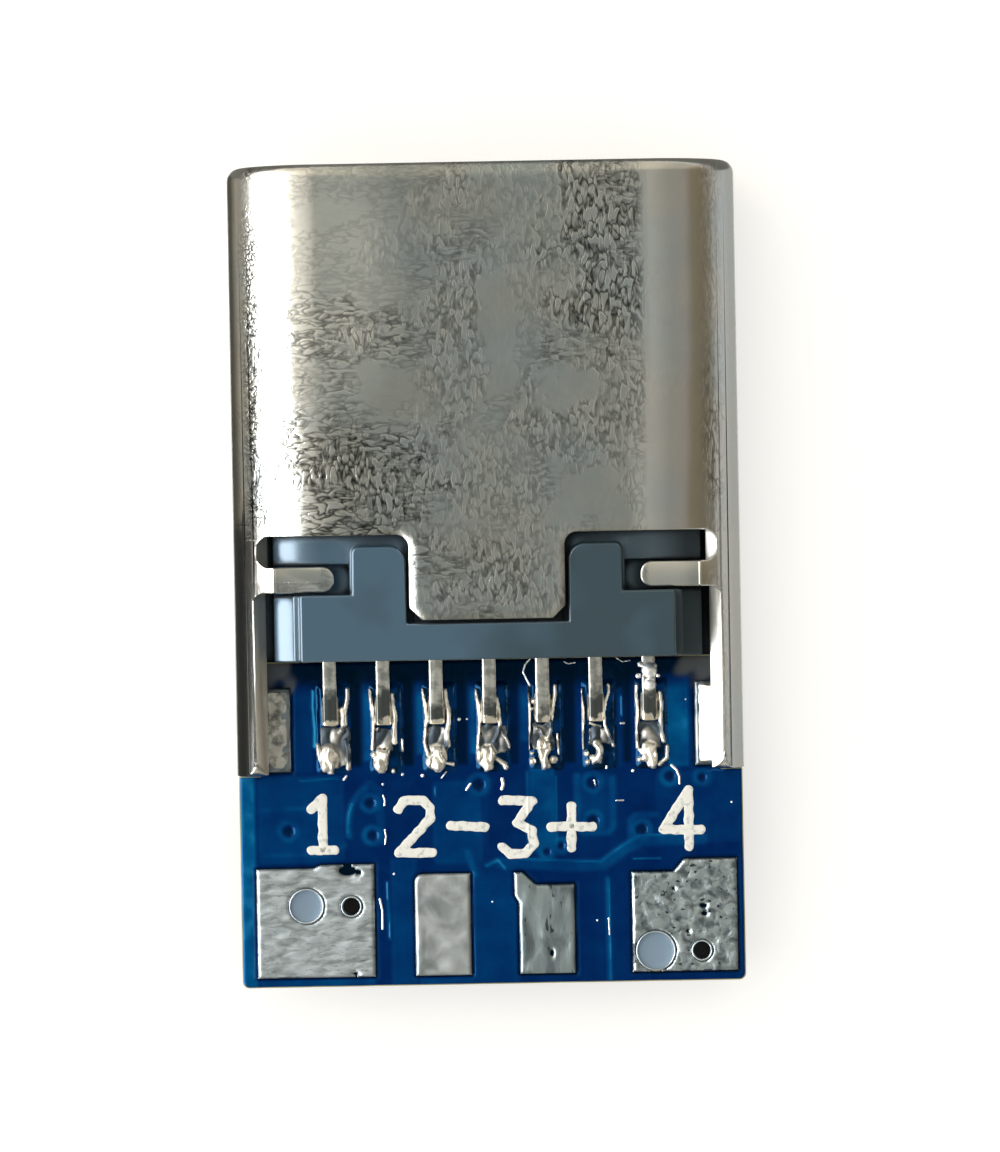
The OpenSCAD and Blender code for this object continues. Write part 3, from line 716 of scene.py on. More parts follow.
@dataclass(frozen=True)
class HoleFilling(Finish):
    """A disc that closes a plated hole: pale and smooth in the wide ones; black in the narrow ones, as
    painted shade.
    """

    name: str = "pale_hole_filling_epoxy"
    colour: str = "#73899f"
    roughness: float = 0.3

    def shade(self, tree: Tree, place: Socket) -> Node:
        """Adds a smooth plastic with a slight cloud.

        Args:
            tree: the material's nodes.
            place: coordinates in metres.

        Returns:
            The shader's node.
        """
        cloud = add_node(tree, "TexNoise", {"Vector": place, "Scale": per(0.4)})
        inputs = {"Base Color": linear(self.colour), "Roughness": self.roughness, "IOR": 1.5}
        return self.surface(tree, cloud, 0.2, 0.01, inputs)


@dataclass(frozen=True)
class SolderMask(Finish):
    """Blue epoxy solder mask, screened and cured.

    It is glossy and lighter where copper lies under it. Its colour also carries painted shade behind
    the moulding, between the contacts and in the moats, painted highlight along copper edges and beside
    the contacts, and a painted brown reflection of the wings. The mesh carries how much copper shows,
    with that painted light and shade, and where the wings' reflection is painted, as attributes. The
    gloss is blue as well, as the pigment lies right under a thin skin.
    """

    name: str = "cured_blue_epoxy_mask"
    # The darkest tone is painted shade.
    painted_shade_tone: str = "#00060e"
    bare: str = "#001a50"
    half: str = "#003066"
    over_copper: str = "#004c80"
    # The lightest tone, thin, is painted highlight along copper edges.
    thin: str = "#2b8fc4"
    gloss: str = "#3f96dc"
    brown: str = "#4f4b40"

    def shade(self, tree: Tree, place: Socket) -> Node:
        """Adds a glossy blue that follows the copper.

        Args:
            tree: the material's nodes.
            place: coordinates in metres.

        Returns:
            The shader's node.
        """
        copper = add_node(tree, "Attribute", attribute_name="copper").outputs["Fac"]
        cloud = add_node(tree, "TexNoise", {"Vector": place, "Scale": per(0.5), "Detail": 3})
        drift = add_node(tree, "MapRange", (cloud, 0.3, 0.7, 0.75, 1.25))
        level = add_node(tree, "Math", (copper, drift), operation="MULTIPLY")
        level = add_node(tree, "Math", (level, 0.5), operation="MULTIPLY")
        codes = (self.painted_shade_tone, self.bare, self.half, self.over_copper, self.thin)
        tone = add_node(tree, "ValToRGB", (level,), ramp=list(zip((0.0, 0.13, 0.3, 0.5, 0.85), codes)))
        # Painted brown reflection of the wings beside their roots.
        browned = add_node(tree, "Attribute", attribute_name="browned").outputs["Fac"]
        colour = add_node(tree, "Mix", (browned, tone, linear(self.brown)), data_type="RGBA")
        rough = add_node(tree, "MapRange", (browned, 0, 1, 0.12, 0.5))
        inputs = {"Base Color": colour, "Roughness": rough, "IOR": 1.55, "Specular Tint": linear(self.gloss)}
        return self.surface(tree, cloud, 0.5, 0.04, inputs)


@dataclass(frozen=True)
class GlassEpoxy(Finish):
    """Glass cloth in epoxy, routed: pale, with the plies showing as fine lines at the edge."""

    name: str = "routed_glass_epoxy_laminate"
    resin: str = "#8d8a63"
    glass: str = "#b3b08a"
    ply: float = 0.1

    def shade(self, tree: Tree, place: Socket) -> Node:
        """Adds the plies as bands across the board's thickness.

        Args:
            tree: the material's nodes.
            place: coordinates in metres.

        Returns:
            The shader's node.
        """
        plies = add_node(
            tree, "TexWave", {"Vector": place, "Scale": per(self.ply) / 6.28, "Distortion": 2, "Detail": 2},
            bands_direction="Z",
        )
        codes = [(0.2, self.resin), (0.8, self.glass)]
        tone = add_node(tree, "ValToRGB", (plies.outputs["Fac"],), ramp=codes)
        return add_node(tree, "BsdfPrincipled", {"Base Color": tone, "Roughness": 0.55, "IOR": 1.5})


@dataclass(frozen=True)
class MarkingInk(Finish):
    """White epoxy ink, printed through a screen: dull, with a rough skin."""

    name: str = "screen_printed_white_ink"
    ink: str = "#dadcdb"
    thin: str = "#b6bcbf"

    def shade(self, tree: Tree, place: Socket) -> Node:
        """Adds a dull white that is thinner in spots.

        Args:
            tree: the material's nodes.
            place: coordinates in metres.

        Returns:
            The shader's node.
        """
        spots = add_node(tree, "TexNoise", {"Vector": place, "Scale": per(0.09), "Detail": 3})
        tone = add_node(tree, "ValToRGB", (spots,), ramp=[(0.34, self.thin), (0.46, self.ink)])
        return self.surface(tree, spots, 0.4, 0.01, {"Base Color": tone, "Roughness": 0.6, "IOR": 1.5})


@dataclass(frozen=True)
class DarkReflectionFilm(Finish):
    """A glassy dark film in the low places of a joint, as deep a blue as the mask beside it: a painted
    reflection of the dark moulding and the mask in the solder's hollows.
    """

    name: str = "set_rosin_flux"
    thick: str = "#000c22"
    thin: str = "#002450"
    gloss: str = "#3f96dc"

    def shade(self, tree: Tree, place: Socket) -> Node:
        """Adds a dark, glassy film.

        Args:
            tree: the material's nodes.
            place: coordinates in metres.

        Returns:
            The shader's node.
        """
        cloud = add_node(tree, "TexNoise", {"Vector": place, "Scale": per(0.25), "Detail": 2})
        tone = add_node(tree, "ValToRGB", (cloud,), ramp=[(0.4, self.thick), (0.6, self.thin)])
        inputs = {"Base Color": tone, "Roughness": 0.12, "IOR": 1.55, "Specular Tint": linear(self.gloss)}
        return self.surface(tree, cloud, 0.5, 0.03, inputs)


# Plan outlines and relief


def ease(low: float, high: float, value: Array) -> Array:
    """Makes a smooth step that is 0 below `low` and 1 above `high`, or the other way round.

    Args:
        low, high: where the step begins and ends.
        value: the values.

    Returns:
        The step's height at each value.
    """
    share = np.clip((value - low) / (high - low), 0, 1)
    return share * share * (3 - 2 * share)


def bulge(depth: Array, rim: float) -> Array:
    """Returns a quarter-round rise from 0 at an edge to 1 at the depth `rim` and beyond."""
    return np.sqrt(1 - (1 - np.clip(depth / rim, 0, 1)) ** 2)


def away_from(x: Array, back: Array, path: Path) -> Array:
    """Measures the distance in plan to a path of straight lines.

    Args:
        x, back: the points.
        path: the path's corners, or one point.

    Returns:
        The distance of each point.
    """
    best = np.full(np.shape(x), np.inf)
    stops = path if len(path) > 1 else path * 2
    for (x0, b0), (x1, b1) in zip(stops, stops[1:]):
        run = max((x1 - x0) ** 2 + (b1 - b0) ** 2, 1e-12)
        share = np.clip(((x - x0) * (x1 - x0) + (back - b0) * (b1 - b0)) / run, 0, 1)
        best = np.minimum(best, np.hypot(x - x0 - share * (x1 - x0), back - b0 - share * (b1 - b0)))
    return best


def in_box(x: Array, back: Array, box: Box, corner: float = 0.0) -> Array:
    """Measures how deep points lie in a rectangle with round corners.

    Args:
        x, back: the points.
        box: least and greatest x, then least and greatest distance behind the mouth.
        corner: the corners' radius.

    Returns:
        The depth of each point, less than zero outside.
    """
    x0, x1, b0, b1 = box
    over_x = np.abs(x - (x0 + x1) / 2) - (x1 - x0) / 2 + corner
    over_b = np.abs(back - (b0 + b1) / 2) - (b1 - b0) / 2 + corner
    outside = np.hypot(np.maximum(over_x, 0), np.maximum(over_b, 0))
    return corner - outside - np.minimum(np.maximum(over_x, over_b), 0)


def box_round(path: Path, margin: float) -> Box:
    """Returns the least and greatest x and distance of a path, with a margin round them."""
    xs, backs = zip(*path)
    return (min(xs) - margin, max(xs) + margin, min(backs) - margin, max(backs) + margin)


@dataclass
class Outline:
    """The edges of a flat face, in plan, as x and distance behind the mouth at both ends."""

    edges: Array

    @classmethod
    def of_node(cls, node: str, face: Face = Face.TOP) -> "Outline":
        """Reads the outline of a CAD node's outermost flat face, with its holes.

        Args:
            node: the CAD node.
            face: the side of the node that is read.

        Returns:
            The outline.
        """
        shape = bmesh.new()
        shape.from_mesh(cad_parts[node].data)
        bmesh.ops.remove_doubles(shape, verts=shape.verts, dist=WELD)
        level = max(v.co.z * face.value for v in shape.verts)
        flat = {f for f in shape.faces if all(abs(v.co.z * face.value - level) < FLAT for v in f.verts)}
        rows = []
        for edge in shape.edges:
            if sum(f in flat for f in edge.link_faces) == 1:
                a, b = (v.co / MM for v in edge.verts)
                rows.append((a.x, HALF_LENGTH - a.y, b.x, HALF_LENGTH - b.y))
        shape.free()
        return cls(np.array(rows))

    def box(self, margin: float = 0.0) -> Box:
        """Returns the least and greatest x and distance, with a margin round them."""
        x, back = self.edges[:, [0, 2]], self.edges[:, [1, 3]]
        return (x.min() - margin, x.max() + margin, back.min() - margin, back.max() + margin)

    def depth(self, x: Array, back: Array) -> Array:
        """Measures how deep points lie inside the outline.

        Args:
            x, back: the points.

        Returns:
            The depth of each point, less than zero outside.
        """
        best = np.full(np.shape(x), np.inf)
        inside = np.zeros(np.shape(x), dtype=bool)
        for x0, b0, x1, b1 in self.edges:
            best = np.minimum(best, away_from(x, back, ((x0, b0), (x1, b1))))
            if b0 != b1:
                crosses = (b0 > back) != (b1 > back)
                inside ^= crosses & (x < x0 + (back - b0) * (x1 - x0) / (b1 - b0))
        return np.where(inside, best, -best)


@dataclass
class Relief:
    """A closed solid on a face of the board, whose outer side follows a height function.

    Attributes:
        name: the piece's name.
        inside: how deep a point lies inside the piece's outline.
        box: the part of the plan that is searched for the outline.
        height: from x, distance behind the mouth and depth to the height over the mid-plane.
        base: the height of the flat inner side.
        step: the mesh's spacing.
        face: which face of the board it lies on.
    """

    name: str
    inside: Field
    box: Box
    height: Callable[[Array, Array, Array], Array]
    base: float
    step: float = 0.03
    face: Face = Face.TOP

    def build(self) -> bpy.types.Object:
        """Makes the solid.

        Returns:
            The new piece.
        """
        x, back, depth, faces = self.net()
        z = self.height(x, back, np.maximum(depth, 0))
        shape = bmesh.new()
        corners = [shape.verts.new(self.point(*p)) for p in zip(x, back, z)]
        for face in faces:
            shape.faces.new([corners[k] for k in face])
        rim = [e for e in shape.edges if e.is_boundary]
        walls = bmesh.ops.extrude_edge_only(shape, edges=rim)["geom"]
        low_z = self.point(0, 0, self.base)[2]
        for part in walls:
            if isinstance(part, bmesh.types.BMVert):
                part.co.z = low_z
        low_rim = [e for e in walls if isinstance(e, bmesh.types.BMEdge) and e.is_boundary]
        bmesh.ops.triangle_fill(shape, use_beauty=True, use_dissolve=False, edges=low_rim)
        bmesh.ops.recalc_face_normals(shape, faces=shape.faces)
        piece = from_shape(shape, self.name)
        smooth(piece, 50)
        return piece

    def point(self, x: float, back: float, z: float) -> tuple[float, float, float]:
        """Returns a point of the frame, in metres."""
        return (x * MM, (HALF_LENGTH - back) * MM, (MID_Z + self.face.value * z) * MM)

    def grid(self) -> tuple[Array, Array, Array]:
        """Lays a square grid over the plan and pulls its nearest corners onto the outline.

        Returns:
            x, distance behind the mouth and depth of each corner.
        """
        x0, x1, b0, b1 = self.box
        x, back = np.meshgrid(
            np.arange(x0, x1 + self.step, self.step), np.arange(b0, b1 + self.step, self.step), indexing="ij"
        )
        depth = self.inside(x, back)
        near = np.abs(depth) < 0.4 * self.step
        small = 0.1 * self.step
        nx, nb = x[near], back[near]
        slope_x = (self.inside(nx + small, nb) - self.inside(nx - small, nb)) / (2 * small)
        slope_b = (self.inside(nx, nb + small) - self.inside(nx, nb - small)) / (2 * small)
        steep = np.maximum(slope_x**2 + slope_b**2, 0.3)
        x[near] -= depth[near] * slope_x / steep
        back[near] -= depth[near] * slope_b / steep
        depth[near] = 0
        return x, back, depth

    def net(self) -> tuple[Array, Array, Array, list[list[int]]]:
        """Covers the outline with a square net that is cut off along it.

        Returns:
            x, distance behind the mouth and depth of each corner, and the corners of each face.
        """
        x, back, depth = self.grid()
        px, pb, pd = list(x.ravel()), list(back.ravel()), list(depth.ravel())
        columns = x.shape[1]
        crossings: dict[tuple[int, int], int] = {}
        faces = []
        wanted = np.maximum.reduce([depth[:-1, :-1], depth[1:, :-1], depth[1:, 1:], depth[:-1, 1:]]) > 0
        for i, j in zip(*np.nonzero(wanted)):
            first = i * columns + j
            ring = [first, first + columns, first + columns + 1, first + 1]
            if min(pd[k] for k in ring) >= 0:
                faces.append(ring)
                continue
            face = []
            for a, b in zip(ring, ring[1:] + ring[:1]):
                if pd[a] >= 0:
                    face.append(a)
                if pd[a] * pd[b] < 0:
                    key = (min(a, b), max(a, b))
                    if key not in crossings:
                        share = pd[a] / (pd[a] - pd[b])
                        crossings[key] = len(px)
                        px.append(px[a] + share * (px[b] - px[a]))
                        pb.append(pb[a] + share * (pb[b] - pb[a]))
                        pd.append(0.0)
                    face.append(crossings[key])
            if len(face) > 2:
                faces.append(face)
        used = sorted({k for face in faces for k in face})
        place_of = {k: n for n, k in enumerate(used)}
        faces = [[place_of[k] for k in face] for face in faces]
        return np.array(px)[used], np.array(pb)[used], np.array(pd)[used], faces


# Meshes


def linked(name: str, data: bpy.types.ID) -> bpy.types.Object:
    """Makes an object of a mesh, lamp or camera and links it to the scene.

    Args:
        name: the object's name.
        data: the mesh, lamp or camera.

    Returns:
        The object.
    """
    made = bpy.data.objects.new(name, data)
    bpy.context.scene.collection.objects.link(made)
    return made


def from_shape(shape: bmesh.types.BMesh, name: str) -> bpy.types.Object:
    """Makes an object of a mesh under construction, and frees that.

    Args:
        shape: the mesh under construction.
        name: the object's name.

    Returns:
        The object.
    """
    mesh = bpy.data.meshes.new(name)
    shape.to_mesh(mesh)
    shape.free()
    return linked(name, mesh)


def smooth(piece: bpy.types.Object, angle: float = 40) -> None:
    """Shades a piece smooth, apart from edges sharper than an angle in degrees."""
    piece.data.shade_smooth()
    piece.data.set_sharp_from_angle(angle=math.radians(angle))


def note_in_plan(piece: bpy.types.Object, name: str, value: Field) -> None:
    """Stores a value of the plan at each corner of a piece, for its material to read.

    Args:
        piece: the piece.
        name: what the material calls the value.
        value: the value at each point of the plan.
    """
    mesh = piece.data
    places = np.empty(3 * len(mesh.vertices))
    mesh.vertices.foreach_get("co", places)
    places = places.reshape(-1, 3) / MM
    store = mesh.attributes.new(name, "FLOAT", "POINT")
    store.data.foreach_set("value", value(places[:, 0], HALF_LENGTH - places[:, 1]))


def new_object(name: str, points: list, faces: list) -> bpy.types.Object:
    """Makes an object from points and faces.

    Args:
        name: the object's name.
        points: its corners, in metres.
        faces: the corners of each face.

    Returns:
        The object.
    """
    mesh = bpy.data.meshes.new(name)
    mesh.from_pydata(points, [], faces)
    mesh.update()
    return linked(name, mesh)


def softened_copy(
    node: str, name: str, edge: float, segments: int = 2, front: float = 100.0
) -> bpy.types.Object:
    """Copies a CAD node and rounds its edges, so that they catch the light.

    Args:
        node: the CAD node.
        name: the new piece's name.
        edge: the width of the rounding in millimetres.
        segments: how many facets each rounding has.
        front: edges further to the front than this stay as they are, in millimetres.

    Returns:
        The new piece, which the caller places.
    """
    shape = bmesh.new()
    shape.from_mesh(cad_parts[node].data)
    bmesh.ops.remove_doubles(shape, verts=shape.verts, dist=WELD)
    bmesh.ops.dissolve_limit(shape, angle_limit=math.radians(0.5), verts=shape.verts, edges=shape.edges)
    weight = shape.edges.layers.float.new("bevel_weight_edge")
    for corner in shape.edges:
        ahead = sum(end.co.y for end in corner.verts) / 2 / MM > front
        if len(corner.link_faces) == 2 and corner.calc_face_angle() > SHARP and not ahead:
            corner[weight] = 1.0
    piece = from_shape(shape, name)
    piece.data.shade_smooth()
    bevel = piece.modifiers.new("edges", "BEVEL")
    bevel.width = edge * MM
    bevel.segments = segments
    bevel.limit_method = "WEIGHT"
    bevel.use_clamp_overlap = False
    even = piece.modifiers.new("even_shading", "WEIGHTED_NORMAL")
    even.keep_sharp = True
    bpy.context.view_layer.update()
    done = bpy.data.meshes.new_from_object(piece.evaluated_get(bpy.context.evaluated_depsgraph_get()))
    piece.modifiers.clear()
    piece.data = done
    return piece


def joined(name: str, parts: list[bpy.types.Object]) -> bpy.types.Object:
    """Makes one piece of several that lie apart, and removes them.

    Args:
        name: the new piece's name.
        parts: the pieces.

    Returns:
        The new piece.
    """
    shape = bmesh.new()
    for part in parts:
        shape.from_mesh(part.data)
        bpy.data.objects.remove(part)
    piece = from_shape(shape, name)
    smooth(piece, 50)
    return piece


def place(piece: bpy.types.Object, finish: Finish, slot: str, *replaced: str) -> None:
    """Dresses a piece and ties it to the part.

    Args:
        piece: the finished piece.
        finish: what it is made of.
        slot: not used.
        replaced: the CAD nodes that it stands for.
    """
    piece.data.materials.clear()
    piece.data.materials.append(finish.build())
    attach(piece, BODY)
    if replaced:
        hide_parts(*replaced)
    LOG.info("%s: %d faces", piece.name, len(piece.data.polygons))


# Sub-assemblies


@dataclass
class Receptacle:
    """The drawn shell, the moulding in it, the plate in its tongue and the two rows of contacts.

    Attributes:
        shell_edge, moulding_edge, contact_edge, plate_edge: how far the edges are rounded.
        rim: how far forward the shell's edges are rounded here; its mouth is rounded already.
        cut: least and greatest distance from the middle of the edges that the press sheared.
        rib: a dark rib beside the moulding's body, painted shade: x, distance behind the mouth, height.
        dark_patches: distance behind the mouth at which the painted dark reflection begins on each tail,
            from the left.
    """

    shell_edge: float = 0.025
    rim: float = 7.1
    moulding_edge: float = 0.045
    contact_edge: float = 0.04
    plate_edge: float = 0.01
    cut: tuple = (3.8, 4.2)
    rib: tuple = ((3.7, 4.08), (6.3, 8.73), (-0.25, 0.25))
    dark_patches: tuple = (9.15, 9.12, 9.4, 9.3, 9.55, 9.2, 9.2)

    def build(self) -> None:
        """Dresses each piece of the receptacle."""
        shell = softened_copy("shell", "plated_shell", self.shell_edge, 3, self.rim)
        place(shell, PlatedSheet(), "shell", "shell")
        self.bare_the_cut(shell)
        moulding = softened_copy("insulator", "moulded_insulator", self.moulding_edge, 3)
        place(moulding, MouldedPolymer(), "insulator", "insulator")
        self.add_shade_ribs()
        for row in ("upper", "lower"):
            for i, begin in enumerate(self.dark_patches, 1):
                node = f"{row}_contact_{i}"
                # Each tail is painted dark, as a reflection of the moulding, from its own place.
                plating = PlatedContact(f"tin_plated_tail_{i}", reflection_band=(begin, begin + 0.2, 9.72, 9.77))
                place(softened_copy(node, f"{row}_tail_{i}", self.contact_edge, 3), plating, "contact", node)
        plate = softened_copy("middle_plate", "tongue_plate", self.plate_edge)
        place(plate, PlatedSheet(), "plate", "middle_plate")

    def bare_the_cut(self, shell: bpy.types.Object) -> None:
        """Gives the edges of windows and wings, which face in and outwards, their own finish.

        Args:
            shell: the shell, which has one finish so far.
        """
        shell.data.materials.append(ShearedSteel().build())
        for face in shell.data.polygons:
            x, height = face.center.x / MM, face.center.z / MM - MID_Z
            inward = -face.normal.x * math.copysign(1, x)
            outward = face.normal.z * math.copysign(1, height)
            if self.cut[0] < abs(x) < self.cut[1] and inward > 0.3 and outward > 0.4:
                face.material_index = 1

    def add_shade_ribs(self) -> None:
        """Adds the ribs beside the moulding's body, which shut out the light from below and carry a darker
        copy of its finish as painted shade.
        """
        (x0, x1), (b0, b1), (z0, z1) = self.rib
        for side, sign in (("left", -1), ("right", 1)):
            corners = [
                (sign * x * MM, (HALF_LENGTH - b) * MM, (MID_Z + z) * MM)
                for x in (x0, x1) for b in (b0, b1) for z in (z0, z1)
            ]
            faces = [(0, 1, 3, 2), (4, 6, 7, 5), (0, 4, 5, 1), (2, 3, 7, 6), (0, 2, 6, 4), (1, 5, 7, 3)]
            if sign < 0:
                faces = [face[::-1] for face in faces]
            # A darker copy of the moulding's finish: painted shade.
            shaded = MouldedPolymer("moulded_polymer_in_shade", "#0a1014", "#04080b")
            place(new_object(f"moulding_rib_{side}", corners, faces), shaded, "insulator")


@dataclass
class Copper:
    """The board's copper, as it shows through the mask: traces, pours and vias.

    Attributes:
        ground: how light the mask is over bare laminate, where 1 is over thick copper.
        pours: boxes in plan with their corner radius and how light they are; later ones lie on top.
        shade_and_highlight_bands: boxes in plan with a wide, soft edge and how light they are: painted
            shade between the contacts and painted highlight beside them.
        shadow: the distances behind the mouth between which the dark behind the moulding ends.
        traces: paths in plan with their width and how light they are.
        highlight_lines: paths of painted highlight along copper edges, with their width and how light they
            are.
        vias: x, distance behind the mouth and how wide the dimple is.
        via_ring: the width of the copper round a dimple.
        soft: how far the mask drapes over a copper edge.
        haze: how wide the edge of a band is.
    """

    ground: float = 0.3
    pours: tuple = (
        ((-4.1, -2.6, 10.72, 12.25), 0.1, 0.55),
        ((-4.6, -4.15, 10.6, 14.7), 0.03, 1.0),
        ((-4.1, -2.1, 14.2, 14.7), 0.03, 0.6),
        ((-1.78, -1.35, 12.2, 14.7), 0.03, 0.52),
        ((-1.3, 0.3, 14.2, 14.7), 0.03, 0.6),
        ((-1.02, -0.1, 10.85, 12.3), 0.1, 0.55),
        ((-0.36, 0.42, 12.25, 14.7), 0.08, 0.5),
        ((0.68, 1.12, 10.6, 12.12), 0.03, 0.72),
        ((1.5, 2.1, 10.75, 11.75), 0.12, 0.5),
        ((1.82, 2.3, 12.5, 14.7), 0.04, 0.34),
        ((2.9, 4.45, 10.75, 12.0), 0.06, 0.42),
        ((3.03, 3.5, 9.0, 10.66), 0.05, 0.9),
        ((-3.45, -3.15, 9.1, 10.66), 0.03, 0.45),
    )
    shade_and_highlight_bands: tuple = (
        ((-2.5, -2.27, 8.9, 10.55), 0.04), ((-2.2, -2.12, 9.1, 10.45), 0.85),
        ((-1.6, -1.35, 8.9, 10.55), 0.04), ((-1.27, -1.19, 9.1, 10.35), 0.8),
        ((-0.66, -0.4, 8.9, 10.55), 0.06), ((-0.33, -0.26, 9.2, 10.35), 0.8),
        ((0.24, 0.5, 8.9, 10.55), 0.1), ((0.57, 0.64, 9.2, 10.15), 0.65),
        ((1.26, 1.5, 8.9, 10.55), 0.06), ((2.2, 2.48, 8.9, 10.55), 0.08),
    )
    shadow: tuple = (8.95, 9.4)
    traces: tuple = (
        (((-2.13, 10.88), (-2.33, 11.05), (-2.46, 11.25), (-2.51, 11.5), (-2.51, 11.78)), 0.1, 0.75),
        (((-2.13, 10.88), (-1.98, 11.0), (-1.93, 11.9)), 0.12, 0.5),
        (
            (
                (0.14, 12.3), (0.7, 12.32), (1.4, 12.38), (1.95, 12.36), (2.35, 12.08), (2.62, 11.95),
                (3.7, 11.94),
            ),
            0.2, 0.62,
        ),
        (((1.52, 10.8), (1.52, 11.7), (1.62, 11.8), (2.05, 11.8), (2.14, 11.7), (2.14, 10.85)), 0.11, 0.7),
        (((2.28, 9.3), (2.28, 10.6)), 0.08, 0.4),
        (((2.02, 12.6), (2.04, 14.5)), 0.07, 0.75),
        (((-4.0, 11.3), (-3.2, 11.28)), 0.08, 0.7),
        (((-4.0, 12.1), (-2.9, 12.1), (-2.6, 11.95)), 0.08, 0.72),
        (((-0.43, 12.1), (-0.3, 12.5)), 0.1, 0.75),
        (((-0.15, 11.0), (-0.12, 12.2)), 0.1, 0.35),
        (((2.45, 11.95), (2.45, 11.6), (2.55, 11.5), (2.9, 11.5)), 0.1, 0.65),
    )
    highlight_lines: tuple = (
        (((-3.1, 9.22), (-3.11, 9.5), (-3.08, 9.9), (-3.09, 10.2)), 0.045, 1.75),
        (((-2.45, 11.22), (-2.52, 11.4), (-2.53, 11.72)), 0.03, 1.35),
        (((0.65, 10.72), (0.65, 12.05)), 0.025, 1.1),
        (((1.14, 10.8), (1.14, 12.0)), 0.025, 1.1),
        (((2.04, 12.62), (2.06, 14.5)), 0.025, 1.3),
        (((0.5, 12.24), (1.3, 12.28), (1.9, 12.31), (2.3, 12.03), (2.6, 11.86), (3.6, 11.85)), 0.03, 1.1),
        (((2.49, 12.27), (2.95, 12.27)), 0.025, 1.2),
        (((-0.1, 12.35), (0.1, 12.25), (0.22, 12.4)), 0.05, 1.3),
        (((-1.85, 12.6), (-1.82, 13.6)), 0.03, 1.15),
        (((-0.98, 10.95), (-0.98, 11.1)), 0.03, 1.2),
        (((-3.35, 10.8), (-2.7, 10.76)), 0.03, 1.0),
        (((2.32, 9.4), (2.32, 9.75)), 0.025, 1.1),
    )
    vias: tuple = (
        (-2.13, 11.21, 0.11), (-2.09, 11.78, 0.11), (-3.57, 11.68, 0.12), (1.79, 10.92, 0.12),
        (1.79, 11.59, 0.12), (2.64, 11.76, 0.12), (-0.21, 10.92, 0.13), (0.97, 12.12, 0.08),
        (1.22, 12.02, 0.08), (3.15, 10.83, 0.11), (3.72, 10.86, 0.09),
    )
    via_ring: float = 0.08
    soft: float = 0.04
    haze: float = 0.06

    def amount(self, x: Array, back: Array) -> Array:
        """Finds how light the mask is.

        Args:
            x, back: the points.

        Returns:
            0 in painted shade, 1 on thick copper, more in painted highlight.
        """
        found = np.full(np.shape(x), self.ground)
        for box, corner, level in self.pours:
            found += (level - found) * ease(-self.soft, self.soft, in_box(x, back, box, corner))
        # Painted shade between the contacts and painted highlight beside them.
        for box, level in self.shade_and_highlight_bands:
            found += (level - found) * ease(-self.haze, 0.03, in_box(x, back, box, 0.02))
        # Painted shadow behind the moulding.
        found *= 0.08 + 0.92 * ease(*self.shadow, back)
        for path, width, level in self.traces:
            side = width / 2 - away_from(x, back, path)
            found += (level - found) * ease(-self.soft, self.soft, side)
        for vx, vb, size in self.vias:
            away = np.hypot(x - vx, back - vb)
            found += (0.75 - found) * ease(-self.soft, self.soft, size + self.via_ring - away)
            found += (0.12 - found) * ease(size + 0.02, size - 0.05, away)
        # Painted highlights along copper edges.
        for path, width, level in self.highlight_lines:
            side = width / 2 - away_from(x, back, path)
            found += (level - found) * ease(-0.02, 0.02, side)
        return found

    def dimples(self, x: Array, back: Array) -> Array:
        """Finds how deep the vias draw the mask in.

        Args:
            x, back: the points.

        Returns:
            The share at each point, 0 away from the vias.
        """
        found = np.zeros(np.shape(x))
        for vx, vb, size in self.vias:
            found = np.maximum(found, ease(size + 0.03, 0.3 * size, np.hypot(x - vx, back - vb)))
        return found


